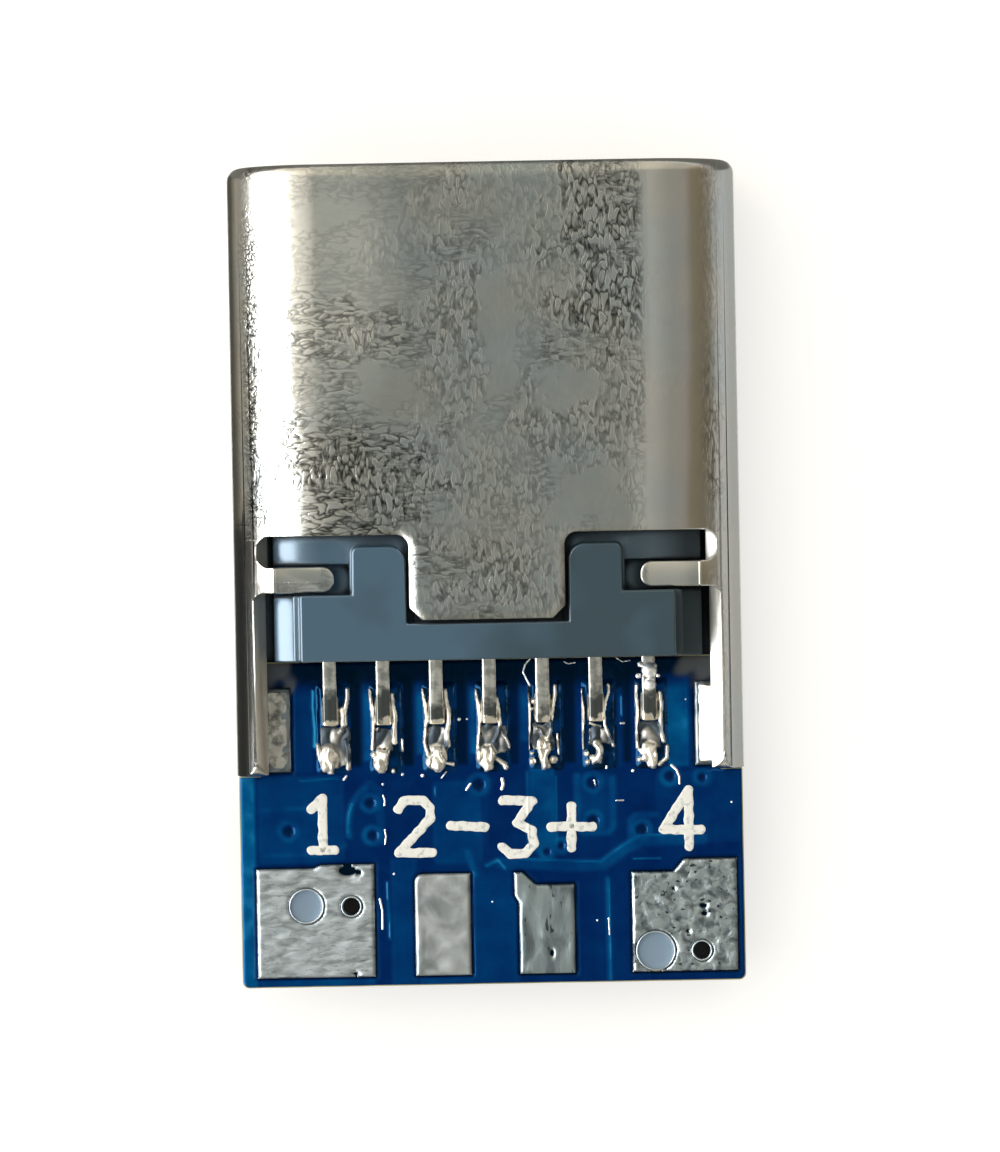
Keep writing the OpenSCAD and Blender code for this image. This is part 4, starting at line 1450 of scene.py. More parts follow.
@dataclass
class Board:
    """Laminate, solder mask on both faces, tinned pads and the white marks.

    Attributes:
        core_share: the laminate's share of the CAD board's thickness.
        mask_base, mask_bare: heights of the mask's inner side and of its outer side over bare laminate.
        mask_lift: how much higher the mask stands over copper.
        mask_top: the most that the mask may rise to.
        moat, moat_floor: the gap between a pad and the mask, and the height of its bottom.
        mask_inset, mask_step: how far the mask stays inside the board's edge, and its mesh size.
        pad_base: the height of a pad's inner side.
        pad_top, fluxed_top: the height of a bare pad's tin, and of one under the dark film.
        pad_rise, pad_rim: how high and how wide its rounded rim is.
        dimple_depth: how far the mask sinks into the copper's dimples.
        wide_fill, narrow_fill: the heights of the discs' tops in the large and in the small holes.
        holes: x, distance behind the mouth, radius, and whether it is a large one.
        tears: x, distance behind the mouth, half width and half length of the holes in the tin.
        browned: boxes in plan beside the wings' roots where the mask is painted brown, as a reflection
            of the wings.
    """

    core_share: float = 0.88
    mask_base: float = 0.345
    mask_bare: float = 0.375
    mask_lift: float = 0.032
    mask_top: float = 0.43
    moat: float = 0.025
    moat_floor: float = 0.36
    mask_inset: float = 0.02
    mask_step: float = 0.03
    pad_base: float = 0.34
    pad_top: float = 0.45
    pad_rise: float = 0.05
    fluxed_top: float = 0.4
    pad_rim: float = 0.06
    dimple_depth: float = 0.018
    wide_fill: float = 0.39
    narrow_fill: float = 0.05
    holes: tuple = (
        (-3.28, 13.0, 0.28, True), (-2.49, 13.02, 0.155, False),
        (2.85, 13.89, 0.32, True), (3.66, 13.9, 0.155, False),
    )
    tears: tuple = (
        (-2.55, 12.39, 0.15, 0.08), (-2.36, 12.42, 0.05, 0.04), (3.69, 13.11, 0.06, 0.035),
        (3.71, 13.25, 0.05, 0.035), (3.18, 12.8, 0.03, 0.025), (3.42, 13.56, 0.03, 0.025),
        (-2.44, 14.2, 0.05, 0.02), (1.02, 13.9, 0.025, 0.05),
    )
    browned: tuple = ((-4.1, -3.5, 8.6, 9.1), (3.38, 4.1, 8.6, 9.08))
    copper: Copper = field(default_factory=Copper)

    def build(self) -> None:
        """Builds the board."""
        self.add_core()
        for face in Face:
            word = face.name.lower()
            pads = [Outline.of_node(f"{word}_{kind}_pads", face) for kind in ("contact", "shell")]
            pads += [Outline.of_node(f"{word}_wire_pad_{i}", face) for i in range(1, 5)]
            self.add_mask(face, pads)
            self.add_pad(f"{word}_contact_pads", pads[0], face, Waves(5, 0.3), 0.003, self.fluxed_top)
            self.add_pad(f"{word}_shell_pads", pads[1], face, Waves(5, 0.3), 0.004, self.pad_top)
            for i, outline in enumerate(pads[2:], 1):
                self.add_pad(f"{word}_wire_pad_{i}", outline, face, self.ripple(i), 0.007, self.pad_top)
        self.add_hole_fills()

    def add_core(self) -> None:
        """Adds the laminate, which is a little thinner than the CAD board to make room for the mask."""
        core = softened_copy("circuit_board", "laminate_core", 0.02)
        for corner in core.data.vertices:
            corner.co.z = MID_Z * MM + (corner.co.z - MID_Z * MM) * self.core_share
        place(core, GlassEpoxy(), "board", "circuit_board")

    def ripple(self, pad: int) -> Field:
        """Returns the unevenness of a wire pad's tin."""
        kinds = (Waves(11, 0.5, 0.35), Waves(12, 0.4), Waves(13, 0.3, 2.4), Waves(14, 0.24))
        return kinds[pad - 1]

    def mask_height(self, x: Array, back: Array) -> Array:
        """Finds the height of the mask's outer side, away from the pads.

        Args:
            x, back: the points.

        Returns:
            The height over the mid-plane.
        """
        swell = Waves(3, 1.6)(x, back) * 0.003
        lift = np.minimum(self.copper.amount(x, back), 1.0) * self.mask_lift
        level = self.mask_bare + lift - self.dimple_depth * self.copper.dimples(x, back) + swell
        return np.minimum(level, self.mask_top)

    def add_mask(self, face: Face, pads: list[Outline]) -> None:
        """Adds the mask of one face, with a moat round each pad.

        Args:
            face: the face of the board.
            pads: the outlines of its pads, the contact pads first.
        """
        board = Outline.of_node("circuit_board", face)

        def beside(x: Array, back: Array) -> Array:
            """Returns how deep each point lies in the nearest bare pad, less than zero outside them."""
            return np.maximum.reduce([pad.depth(x, back) for pad in pads[1:]])

        def inside(x: Array, back: Array) -> Array:
            """Returns how deep each point lies in the mask."""
            return board.depth(x, back) - self.mask_inset

        def height(x: Array, back: Array, depth: Array) -> Array:
            """Finds the mask's height, which falls into the moats and rounds off at the board's edge.

            Args:
                x, back: the points.
                depth: how deep each lies in the outline.

            Returns:
                The height over the mid-plane.
            """
            open_ground = ease(-self.moat, -self.moat - 0.04, beside(x, back))
            level = self.moat_floor + (self.mask_height(x, back) - self.moat_floor) * open_ground
            return self.mask_base + (level - self.mask_base) * bulge(depth + 0.01, 0.05)

        def colour(x: Array, back: Array) -> Array:
            """Returns how light the mask is, with painted shade in the moats."""
            # Painted shade in the moats.
            open_ground = ease(-0.5 * self.moat, -self.moat - 0.03, beside(x, back))
            return self.copper.amount(x, back) * open_ground

        piece = Relief(
            f"{face.name.lower()}_mask", inside, board.box(), height, self.mask_base, self.mask_step, face
        ).build()
        note_in_plan(piece, "copper", colour)
        note_in_plan(piece, "browned", self.flux)
        place(piece, SolderMask(), "board")

    def flux(self, x: Array, back: Array) -> Array:
        """Measures how far the mask is painted brown, as a reflection of the wings.

        Args:
            x: across the board.
            back: distance behind the mouth.

        Returns:
            0 where there is none, and up to 0.9.
        """
        cloud = 0.07 * Waves(51, 0.4)(x, back)
        return np.maximum.reduce(
            [0.9 * ease(-0.14, 0.1, in_box(x, back, box, 0.1) + cloud) for box in self.browned]
        )

    def add_pad(
        self, node: str, outline: Outline, face: Face, wave: Field, swing: float, top: float
    ) -> None:
        """Adds the tin of one CAD pad.

        Args:
            node: the CAD pad.
            outline: its edges.
            face: the face of the board that it lies on.
            wave: the tin's unevenness.
            swing: how far it goes up and down.
            top: its height.
        """

        def height(x: Array, back: Array, depth: Array) -> Array:
            """Returns the tin's height, with a rounded rim."""
            rise = bulge(depth, self.pad_rim)
            return top - self.pad_rise + (self.pad_rise + wave(x, back) * swing) * rise

        def inside(x: Array, back: Array) -> Array:
            """Measures the depth in the tin, which has pulled back from its tears.

            Args:
                x, back: the points.

            Returns:
                The depth of each point.
            """
            depth = outline.depth(x, back)
            for tx, tb, half_w, half_l in self.tears:
                away = np.hypot((x - tx) / half_w, (back - tb) / half_l) - 1
                depth = np.minimum(depth, away * min(half_w, half_l))
            return depth

        piece = Relief(f"{node}_tin", inside, outline.box(0.03), height, self.pad_base, 0.03, face).build()
        place(piece, self.tin(node), "pad", node)

    def tin(self, node: str) -> LevelledTin:
        """Picks the tin of a pad, which froze a little differently on each.

        Args:
            node: the CAD pad.

        Returns:
            The finish.
        """
        kinds = {
            # The shell pads' tin is darker than the wire pads'.
            "s": LevelledTin("tin_dulled_by_flux", "#59636a", "#868f97"),
            "1": LevelledTin(
                "tin_in_long_bands", "#828a8c", "#a6aeb2", stretch=0.3, roughness=0.5, pinholes=0.4
            ),
            "2": LevelledTin("tin_in_soft_clouds", "#808688", "#a3a8a9", ripple=0.5, roughness=0.5),
            "3": LevelledTin("tin_in_upright_streaks", "#646e73", "#929fa2", 0.3, 2.6, 0.4, 0.8),
            "4": LevelledTin("tin_in_coarse_grains", "#656e73", "#a8b3b7", 0.17, 1.0, 0.36, 0.9),
        }
        return kinds.get(node[-1], LevelledTin())

    def add_hole_fills(self) -> None:
        """Closes the plated holes: a pale disc in the wide ones, and black deep down in the narrow ones as
        painted shade.
        """
        for number, (hx, hb, radius, wide) in enumerate(self.holes, 1):
            top = self.wide_fill if wide else self.narrow_fill
            # The narrow holes' black disc is painted shade.
            finish = HoleFilling() if wide else HoleFilling("black_hole_filling_epoxy", "#040404", 0.6)

            def inside(x: Array, back: Array) -> Array:
                """Returns how deep each point lies in the hole."""
                return radius - 0.003 - np.hypot(x - hx, back - hb)

            def height(x: Array, back: Array, depth: Array) -> Array:
                """Returns the filling's height, which sags in the middle."""
                return top - 0.03 * bulge(depth, radius)

            for face in Face:
                piece = Relief(
                    f"{face.name.lower()}_hole_filling_{number}", inside,
                    (hx - radius, hx + radius, hb - radius, hb + radius), height, 0.0, 0.03, face,
                ).build()
                place(piece, finish, "plating")
        plating = softened_copy("plated_holes", "hole_barrels", 0.01)
        place(plating, LevelledTin(), "plating", "plated_holes")


@dataclass(frozen=True)
class Frozen:
    """How one joint froze, as places in x and distance behind the mouth.

    Attributes:
        ridges: paths of raised edges, each with half of its width.
        blob: the solder past the tail's tip: x, distance, half width and half length.
        beads: x, distance, radius and height over the pad.
        facet: corners of the grey, creased part between tip and blob, as least and greatest x and
            distance.
    """

    ridges: tuple
    blob: tuple
    beads: tuple
    facet: tuple


@dataclass
class Joints:
    """The solder round each contact's tail, on both faces.

    Attributes:
        half_w: half of a joint's width.
        shift: how far a joint's middle lies from its tail's.
        pad_top: the height of the pad's tin.
        ridge_h, ridge_swell, blob_h, facet_h: heights of what froze, and how much ridges swell.
        wick_w, wick_h: how far and how high the solder climbs beside the tail.
        solder_base: the height of its hidden side.
        film_foot, film_top, film_rim: heights of the dark film's edge and middle, and the width of its
            slope.
        tail_half_w, tail_tip: half of the tail's width, and where it ends.
        step: the mesh size.
        frozen: how each joint froze, from the left.
    """

    half_w: float = 0.31
    shift: float = 0.05
    pad_top: float = 0.45
    ridge_h: float = 0.09
    ridge_swell: float = 1.35
    blob_h: float = 0.2
    facet_h: float = 0.032
    wick_w: float = 0.045
    wick_h: float = 0.1
    solder_base: float = 0.34
    film_foot: float = 0.385
    film_top: float = 0.455
    film_rim: float = 0.12
    tail_half_w: float = 0.125
    tail_tip: float = 9.8
    step: float = 0.015
    frozen: tuple = (
        Frozen(
            (
                (((-2.5, 9.2), (-2.5, 9.35), (-2.55, 9.6)), 0.03), (((-2.58, 9.55), (-2.57, 9.8)), 0.05),
                (((-3.04, 10.18), (-2.99, 10.4), (-2.9, 10.56), (-2.8, 10.66)), 0.035),
                (((-2.54, 10.1), (-2.5, 10.3), (-2.5, 10.58)), 0.035),
            ),
            (-2.85, 10.42, 0.17, 0.24), ((-2.61, 9.92, 0.07, 0.11),), (-3.0, -2.48, 9.85, 10.58),
        ),
        Frozen(
            (
                (((-2.1, 9.22), (-2.08, 9.45), (-2.05, 9.7), (-2.05, 9.95), (-2.07, 10.25)), 0.026),
                (((-1.72, 9.3), (-1.7, 9.5), (-1.66, 9.7), (-1.68, 9.9), (-1.68, 10.15)), 0.036),
                (((-1.55, 10.1), (-1.54, 10.3)), 0.018),
            ),
            (-1.89, 10.45, 0.16, 0.24), ((-2.04, 10.36, 0.065, 0.14), (-1.97, 9.92, 0.05, 0.09)),
            (-2.04, -1.7, 9.9, 10.3),
        ),
        Frozen(
            (
                (((-1.19, 9.22), (-1.14, 9.45), (-1.11, 9.7), (-1.13, 9.95), (-1.15, 10.15),
                  (-1.1, 10.38)), 0.026),
                (((-0.78, 9.25), (-0.76, 9.45), (-0.72, 9.6), (-0.72, 9.8), (-0.76, 10.0),
                  (-0.74, 10.22)), 0.036),
                (((-0.82, 10.52), (-0.66, 10.54)), 0.025),
            ),
            (-0.95, 10.43, 0.17, 0.23),
            ((-1.07, 10.52, 0.07, 0.15), (-0.95, 10.62, 0.05, 0.12), (-0.66, 10.56, 0.03, 0.07)),
            (-1.12, -0.74, 9.85, 10.5),
        ),
        Frozen(
            (
                (((-0.25, 9.26), (-0.21, 9.45), (-0.18, 9.7), (-0.18, 9.9), (-0.2, 10.1),
                  (-0.22, 10.33)), 0.026),
                (((0.13, 9.4), (0.16, 9.6), (0.18, 9.85), (0.14, 10.05), (0.08, 10.15)), 0.026),
                (((0.2, 9.98), (0.29, 10.12), (0.34, 10.27)), 0.02),
                (((0.12, 10.47), (0.25, 10.56), (0.27, 10.62)), 0.035),
                (((-0.22, 10.42), (-0.13, 10.33)), 0.03),
            ),
            (-0.05, 10.44, 0.16, 0.22), ((0.0, 10.6, 0.06, 0.12),), (-0.18, 0.3, 9.86, 10.4),
        ),
        Frozen(
            (
                (((0.65, 9.2), (0.66, 9.4), (0.7, 9.55), (0.7, 9.8), (0.69, 10.0), (0.66, 10.3)), 0.026),
                (((1.15, 9.2), (1.15, 9.35), (1.11, 9.6), (1.08, 9.8), (1.06, 10.0), (1.02, 10.12)), 0.03),
                (((0.83, 9.95), (0.89, 9.97), (0.93, 10.06)), 0.03), (((1.18, 10.05), (1.2, 10.4)), 0.018),
            ),
            (0.94, 10.38, 0.12, 0.28),
            (
                (0.78, 9.46, 0.06, 0.14), (0.73, 9.6, 0.04, 0.1), (0.83, 9.63, 0.04, 0.12),
                (0.83, 9.74, 0.045, 0.12), (0.73, 10.38, 0.04, 0.1), (0.74, 10.52, 0.07, 0.16),
                (1.11, 10.5, 0.08, 0.09),
            ),
            (0.72, 1.12, 9.85, 10.35),
        ),
        Frozen(
            (
                (((1.59, 9.25), (1.61, 9.4), (1.64, 9.6), (1.64, 9.85), (1.62, 10.05), (1.62, 10.3)), 0.026),
                (((2.09, 9.2), (2.1, 9.32), (2.04, 9.5), (2.01, 9.68), (2.02, 9.9), (2.1, 10.1),
                  (2.16, 10.27)), 0.024),
                (((1.76, 9.87), (1.85, 9.9), (1.94, 9.93)), 0.02),
            ),
            (1.88, 10.42, 0.11, 0.23),
            ((1.69, 10.4, 0.055, 0.13), (1.71, 10.55, 0.05, 0.13), (1.79, 10.48, 0.06, 0.16)),
            (1.71, 2.12, 9.93, 10.25),
        ),
        Frozen(
            (
                (((2.59, 9.22), (2.58, 9.4), (2.6, 9.65), (2.59, 9.9), (2.58, 10.1), (2.59, 10.3)), 0.026),
                (((2.99, 9.35), (3.02, 9.55), (3.0, 9.8), (3.01, 10.05), (3.05, 10.2)), 0.034),
                (((3.11, 10.3), (3.1, 10.5), (2.97, 10.61)), 0.03),
                (((2.63, 10.35), (2.72, 10.46), (2.8, 10.62)), 0.03),
            ),
            (2.81, 10.42, 0.15, 0.22), ((2.62, 10.52, 0.05, 0.13),), (2.62, 3.0, 9.86, 10.3),
        ),
    )

    def build(self) -> None:
        """Builds the joints of both rows, and the beads that ran up one tail."""
        for row, face in (("upper", Face.TOP), ("lower", Face.BOTTOM)):
            pads = Outline.of_node(f"{face.name.lower()}_contact_pads", face).box()
            for number, frozen in enumerate(self.frozen, 1):
                low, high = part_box(f"{row}_solder_{number}")
                middle = (low[0] + high[0]) / 2 / MM
                self.add_joint(row, number, face, frozen, middle, pads[2], pads[3])

    def add_joint(
        self, row: str, number: int, face: Face, frozen: Frozen, middle: float, front: float, rear: float
    ) -> None:
        """Adds one joint and the dark film in its low places, a painted reflection.

        Args:
            row, number: which contact it belongs to.
            face: the face of the board that it lies on.
            frozen: how it froze.
            middle: its middle's x.
            front, rear: its ends, behind the mouth.
        """
        seed = 100 * number + (7 if face is Face.TOP else 60)
        tail = middle - self.shift
        fine = Waves(seed, 0.13)
        ragged = Waves(seed + 1, 0.25, 1.6)
        box = (middle - self.half_w - 0.03, middle + self.half_w + 0.03, front - 0.1, rear + 0.12)

        def pad(x: Array, back: Array) -> Array:
            """Returns how deep each point lies in the joint's part of the pad and a little round it."""
            share = (middle - self.half_w, middle + self.half_w, front - 0.06, rear + 0.05)
            return in_box(x, back, share, 0.08)

        def inside(x: Array, back: Array) -> Array:
            """Returns how deep each point lies in the solder."""
            return pad(x, back) - 0.005

        def body(x: Array, back: Array) -> Array:
            """Finds how high the solder's ridges, drops, creases and wicked edges stand.

            Args:
                x, back: the points.

            Returns:
                The height over the pad.
            """
            parts = []
            for path, half in frozen.ridges:
                share = 1 - (away_from(x, back, path) / half / self.ridge_swell) ** 2
                parts.append(self.ridge_h * min(1, half / 0.03) * np.sqrt(np.clip(share, 0, 1)))
            for bx, bb, radius, rise in frozen.beads:
                share = 1 - (np.hypot(x - bx, back - bb) / radius) ** 2
                parts.append(rise * np.sqrt(np.clip(share, 0, 1)))
            bx, bb, half_w, half_l = frozen.blob
            off = 0.045 * ragged(x, back)
            share = 1 - np.abs((x - bx + off) / half_w) ** 2.6 - np.abs((back - bb + off) / half_l) ** 2.6
            creases = 0.72 + 0.4 * np.abs(ragged(x + 0.3, back - 0.2))
            parts.append(self.blob_h * np.clip(share, 0, 1) ** 0.4 * np.minimum(creases, 1))
            creased = self.facet_h * (0.8 + 0.6 * np.abs(ragged(x, back)))
            edge = in_box(x, back, frozen.facet, 0.03) + 0.03 * ragged(x, back)
            parts.append(creased * ease(0, 0.03, edge))
            wick = np.clip((np.abs(x - tail) - self.tail_half_w) / self.wick_w, 0, 1)
            begun = ease(front + 0.1, front + 0.4, back)
            ended = ease(self.tail_tip + 0.06, self.tail_tip - 0.04, back)
            parts.append(self.wick_h * (1 - wick) ** 1.6 * begun * ended)
            return np.maximum.reduce(parts)

        def height(x: Array, back: Array, depth: Array) -> Array:
            """Finds the solder's height, with ripples where it is thick.

            Args:
                x, back: the points.
                depth: how deep each lies in the outline.

            Returns:
                The height over the mid-plane.
            """
            rise = body(x, back)
            rise = rise + 0.004 * fine(x, back) * np.clip(rise / 0.05, 0, 1)
            rise = np.maximum(rise, 0) * bulge(depth + 0.005, 0.03)
            low = self.film_foot - 0.03
            return low + (self.pad_top - low) * np.clip(rise / 0.015, 0, 1) + rise

        def dull(x: Array, back: Array) -> Array:
            """Finds how dull the solder is: most of it between the tip and the last drop.

            Args:
                x, back: the points.

            Returns:
                The share at each point.
            """
            bx, bb, half_w, half_l = frozen.blob
            drop = 1.08 - np.hypot((x - bx) / half_w, (back - bb) / half_l)
            creased = ease(-0.02, 0.03, in_box(x, back, frozen.facet, 0.03) + 0.03 * ragged(x, back))
            return np.clip(creased * (0.95 + 0.3 * ragged(x, back)), 0, 1) * (1 - ease(-0.1, 0.05, drop))

        name = f"{row}_joint_{number}"
        joint = Relief(name, inside, box, height, self.solder_base, self.step, face).build()
        note_in_plan(joint, "dull", dull)
        place(joint, ReflowedSolder(), "solder", f"{row}_solder_{number}")

        def film_height(x: Array, back: Array, depth: Array) -> Array:
            """Returns the dark film's height."""
            rise = self.film_top - self.film_foot + 0.004 * ragged(x, back)
            return self.film_foot + rise * ease(0, self.film_rim, depth)

        name = f"{row}_flux_{number}"
        film = Relief(name, pad, box, film_height, self.film_foot - 0.04, 0.03, face).build()
        # The dark film is a painted reflection in the joint's hollows.
        place(film, DarkReflectionFilm(), "solder")


@dataclass
class GlintsAndBeads:
    """Bright beads and slivers on the mask, which are painted glints, and beads of solder on the last tail.

    Attributes:
        beads: x, distance behind the mouth, radius and the height that they lie at.
        slivers: paths with half of their width, which lie on the mask.
        mask_z: the height of the mask under them.
        rise: how far each part reaches down into what it lies on.
    """

    beads: tuple = (
        (-0.54, 9.76, 0.035, 0.4), (-0.4, 9.76, 0.02, 0.4), (-1.61, 10.58, 0.035, 0.4),
        (-1.72, 10.52, 0.025, 0.41), (-1.55, 10.71, 0.03, 0.4), (-1.2, 10.74, 0.035, 0.4),
        (-1.9, 10.88, 0.025, 0.4), (-1.74, 10.62, 0.025, 0.4), (2.5, 10.72, 0.03, 0.4),
        (2.04, 10.62, 0.03, 0.4), (2.04, 10.66, 0.025, 0.4), (3.45, 9.48, 0.02, 0.4),
        (4.23, 11.3, 0.02, 0.4), (-1.73, 12.46, 0.025, 0.4), (-0.01, 12.98, 0.02, 0.4),
        (1.83, 13.34, 0.02, 0.4),
        (2.66, 8.85, 0.05, 0.6), (2.82, 8.95, 0.14, 0.58), (2.62, 9.05, 0.05, 0.6), (2.97, 9.05, 0.04, 0.6),
        (2.82, 9.2, 0.12, 0.58), (2.9, 8.88, 0.06, 0.6),
    )
    slivers: tuple = (
        (((2.3, 9.88), (2.36, 9.88)), 0.02), (((-2.58, 10.78), (-2.54, 10.73)), 0.025),
        (((-0.86, 10.78), (-0.78, 10.68)), 0.012), (((-0.43, 11.0), (-0.36, 10.9)), 0.025),
        (((-1.9, 11.08), (-1.87, 11.16), (-1.88, 11.25)), 0.016),
        (((-1.88, 11.68), (-1.86, 11.8), (-1.88, 11.93)), 0.016),
        (((0.2, 10.82), (0.22, 10.92), (0.19, 11.0)), 0.03),
        (((3.18, 10.63), (3.27, 10.72), (3.32, 10.84), (3.32, 10.96)), 0.022),
        (((1.82, 10.88), (1.84, 10.96)), 0.014), (((-1.99, 12.9), (-1.95, 13.1), (-1.95, 13.42)), 0.022),
        (((2.03, 13.31), (2.04, 13.6)), 0.014), (((2.2, 11.24), (2.33, 11.24)), 0.014),
        (((0.73, 8.72), (0.64, 8.82), (0.6, 8.95), (0.66, 9.08), (0.72, 9.2)), 0.016),
        (((1.32, 8.78), (1.4, 8.82), (1.52, 8.8)), 0.01), (((2.23, 8.72), (2.35, 8.8), (2.49, 8.78)), 0.01),
    )
    mask_z: float = 0.4
    rise: float = 0.03
    step: float = 0.012

    def build(self) -> None:
        """Adds the glints and beads on the upper face as one piece."""
        parts = [self.add_part(((x, back),), radius, foot) for x, back, radius, foot in self.beads]
        parts += [self.add_part(path, half, self.mask_z) for path, half in self.slivers]
        # A bright, near-white finish that paints glints on the specks on the mask.
        finish = ReflowedSolder("spattered_tin_silver_solder", "#dfe3e6", "#ffffff")
        place(joined("solder_spatter", parts), finish, "solder")

    def add_part(self, path: Path, half: float, foot: float) -> bpy.types.Object:
        """Adds one bead or sliver.

        Args:
            path: its middle line, one point for a bead.
            half: half of its width.
            foot: the height at which it lies.

        Returns:
            The new piece.
        """

        def inside(x: Array, back: Array) -> Array:
            """Returns how deep each point lies in the part."""
            return half - away_from(x, back, path)

        def height(x: Array, back: Array, depth: Array) -> Array:
            """Returns the part's rounded height."""
            return foot + 0.9 * half * bulge(depth, half)

        box = box_round(path, half + 0.02)
        return Relief("spatter", inside, box, height, foot - self.rise, self.step).build()


@dataclass
class WingSolder:
    """The solder between the shell's wings and the board's outer pads: more of it on the right.

    Attributes:
        flat_half: half of the shell's flat width, where its round flank begins.
        inner_r: the flank's radius inside.
        top_left, top_right: how high the solder climbs on each side.
        reach: how far it runs over the pad.
        pad_top: the height of the pad's tin.
    """

    flat_half: float = 2.89
    inner_r: float = 1.28
    top_left: float = 0.56
    top_right: float = 0.74
    reach: float = 0.3
    pad_top: float = 0.45

    def build(self) -> None:
        """Builds the four fillets."""
        for face in Face:
            for side, sign in (("left", -1), ("right", 1)):
                self.add_fillet(face, side, sign)

    def add_fillet(self, face: Face, side: str, sign: int) -> None:
        """Adds one fillet, which climbs the inside of a wing.

        Args:
            face: the face of the board.
            side: which wing, as in the CAD node's name.
            sign: -1 on the left and 1 on the right.
        """
        node = f"{face.name.lower()}_wing_solder_{side}"
        low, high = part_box(node)
        x0, x1 = low[0] / MM, high[0] / MM
        b0, b1 = HALF_LENGTH - high[1] / MM, HALF_LENGTH - low[1] / MM
        inner = x1 if sign < 0 else x0
        top = self.top_left if sign < 0 else self.top_right
        wavy = Waves(31 + sign + face.value, 0.35)

        def inside(x: Array, back: Array) -> Array:
            """Returns how deep each point lies in the fillet."""
            return in_box(x, back, (x0, x1, b0, b1), 0.05)

        def height(x: Array, back: Array, depth: Array) -> Array:
            """Finds the fillet's height, which stays under the wall.

            Args:
                x, back: the points.
                depth: how deep each lies in the outline.

            Returns:
                The height over the mid-plane.
            """
            wall = np.sqrt(np.maximum(self.inner_r**2 - (np.abs(x) - self.flat_half) ** 2, 0)) - 0.01
            share = np.clip((np.abs(x) - abs(inner)) / self.reach, 0, 1)
            climb = self.pad_top + (top - self.pad_top) * share**1.8 + 0.03 * wavy(x, back) * share
            level = np.minimum(climb, wall)
            return self.pad_top - 0.01 + (level - self.pad_top + 0.01) * bulge(depth, 0.04)

        piece = Relief(f"{node}_fillet", inside, (x0, x1, b0, b1), height, 0.42, 0.02, face).build()
        # The left wing's solder gets a darker copy of the finish.
        darker_solder = ReflowedSolder("fluxed_tin_silver_solder", "#777b7a", "#c4c6c1")
        place(piece, darker_solder if sign < 0 else ReflowedSolder(), "solder", node)


@dataclass
class Marks:
    """Plain numbers and signs that say which pad is which.

    Attributes:
        strokes: paths in plan.
        width: the width of a stroke.
        margin: how far round a stroke's path its outline is searched for.
        skin: how thick the ink is.
    """

    strokes: tuple = (
        ((-3.17, 11.3), (-2.97, 11.1), (-2.97, 12.02)),
        ((-3.17, 12.02), (-2.77, 12.02)),
        (
            (-1.64, 11.32), (-1.52, 11.17), (-1.2, 11.17), (-1.08, 11.32), (-1.08, 11.5), (-1.64, 12.09),
            (-1.05, 12.1),
        ),
        ((-0.72, 11.63), (-0.12, 11.66)),
        (
            (0.2, 11.2), (0.72, 11.22), (0.45, 11.6), (0.7, 11.74), (0.74, 11.98), (0.58, 12.14),
            (0.32, 12.15), (0.18, 12.02),
        ),
        ((1.04, 11.68), (1.77, 11.69)),
        ((1.41, 11.32), (1.4, 12.05)),
        ((3.47, 12.06), (3.47, 11.08), (3.02, 11.76), (3.68, 11.78)),
    )
    width: float = 0.165
    margin: float = 0.15
    skin: float = 0.025

    def build(self, board: Board) -> None:
        """Prints the marks on the board's upper face.

        Args:
            board: the board, whose mask they follow.
        """
        ragged = Waves(77, 0.2)
        for number, stroke in enumerate(self.strokes, 1):
            box = box_round(stroke, self.margin)

            def inside(x: Array, back: Array) -> Array:
                """Returns how deep each point lies in the stroke."""
                return self.width / 2 - away_from(x, back, stroke) + 0.006 * ragged(x, back)

            def height(x: Array, back: Array, depth: Array) -> Array:
                """Returns the ink's height, which follows the mask."""
                return board.mask_height(x, back) + self.skin * bulge(depth + 0.005, 0.04)

            piece = Relief(f"mark_{number}", inside, box, height, board.mask_base + 0.01, 0.02).build()
            place(piece, MarkingInk(), "board")


@dataclass(frozen=True)
class Card:
    """A card that only shows in gloss, as studios use to shape the reflections on metal.

    Attributes:
        name: the card's name.
        corners: its four corners.
        tones: x and the colour there, in order.
        strength: how bright it is, where one is paper white.
    """

    name: str
    corners: tuple
    tones: tuple
    strength: float = 1.0

    def build(self) -> None:
        """Adds the card."""
        points = [tuple(v * MM for v in corner) for corner in self.corners]
        card = new_object(self.name, points, [(0, 1, 2, 3)])
        material = new_material(f"{self.name}_paint")
        tree = material.node_tree
        (first, code), (last, _) = self.tones[0], self.tones[-1]
        colour = linear(code)
        if last > first:
            side = add_node(tree, "SeparateXYZ", (add_node(tree, "TexCoord").outputs["Object"],))
            share = add_node(tree, "MapRange", (side.outputs["X"], first * MM, last * MM))
            ramp = [((x - first) / (last - first), tone) for x, tone in self.tones]
            colour = add_node(tree, "ValToRGB", (share,), ramp=ramp)
        glow = add_node(tree, "Emission", (colour, self.strength))
        add_node(tree, "OutputMaterial", {"Surface": glow})
        card.data.materials.append(material)
        card.visible_camera = False
        card.visible_diffuse = False
        card.visible_shadow = False


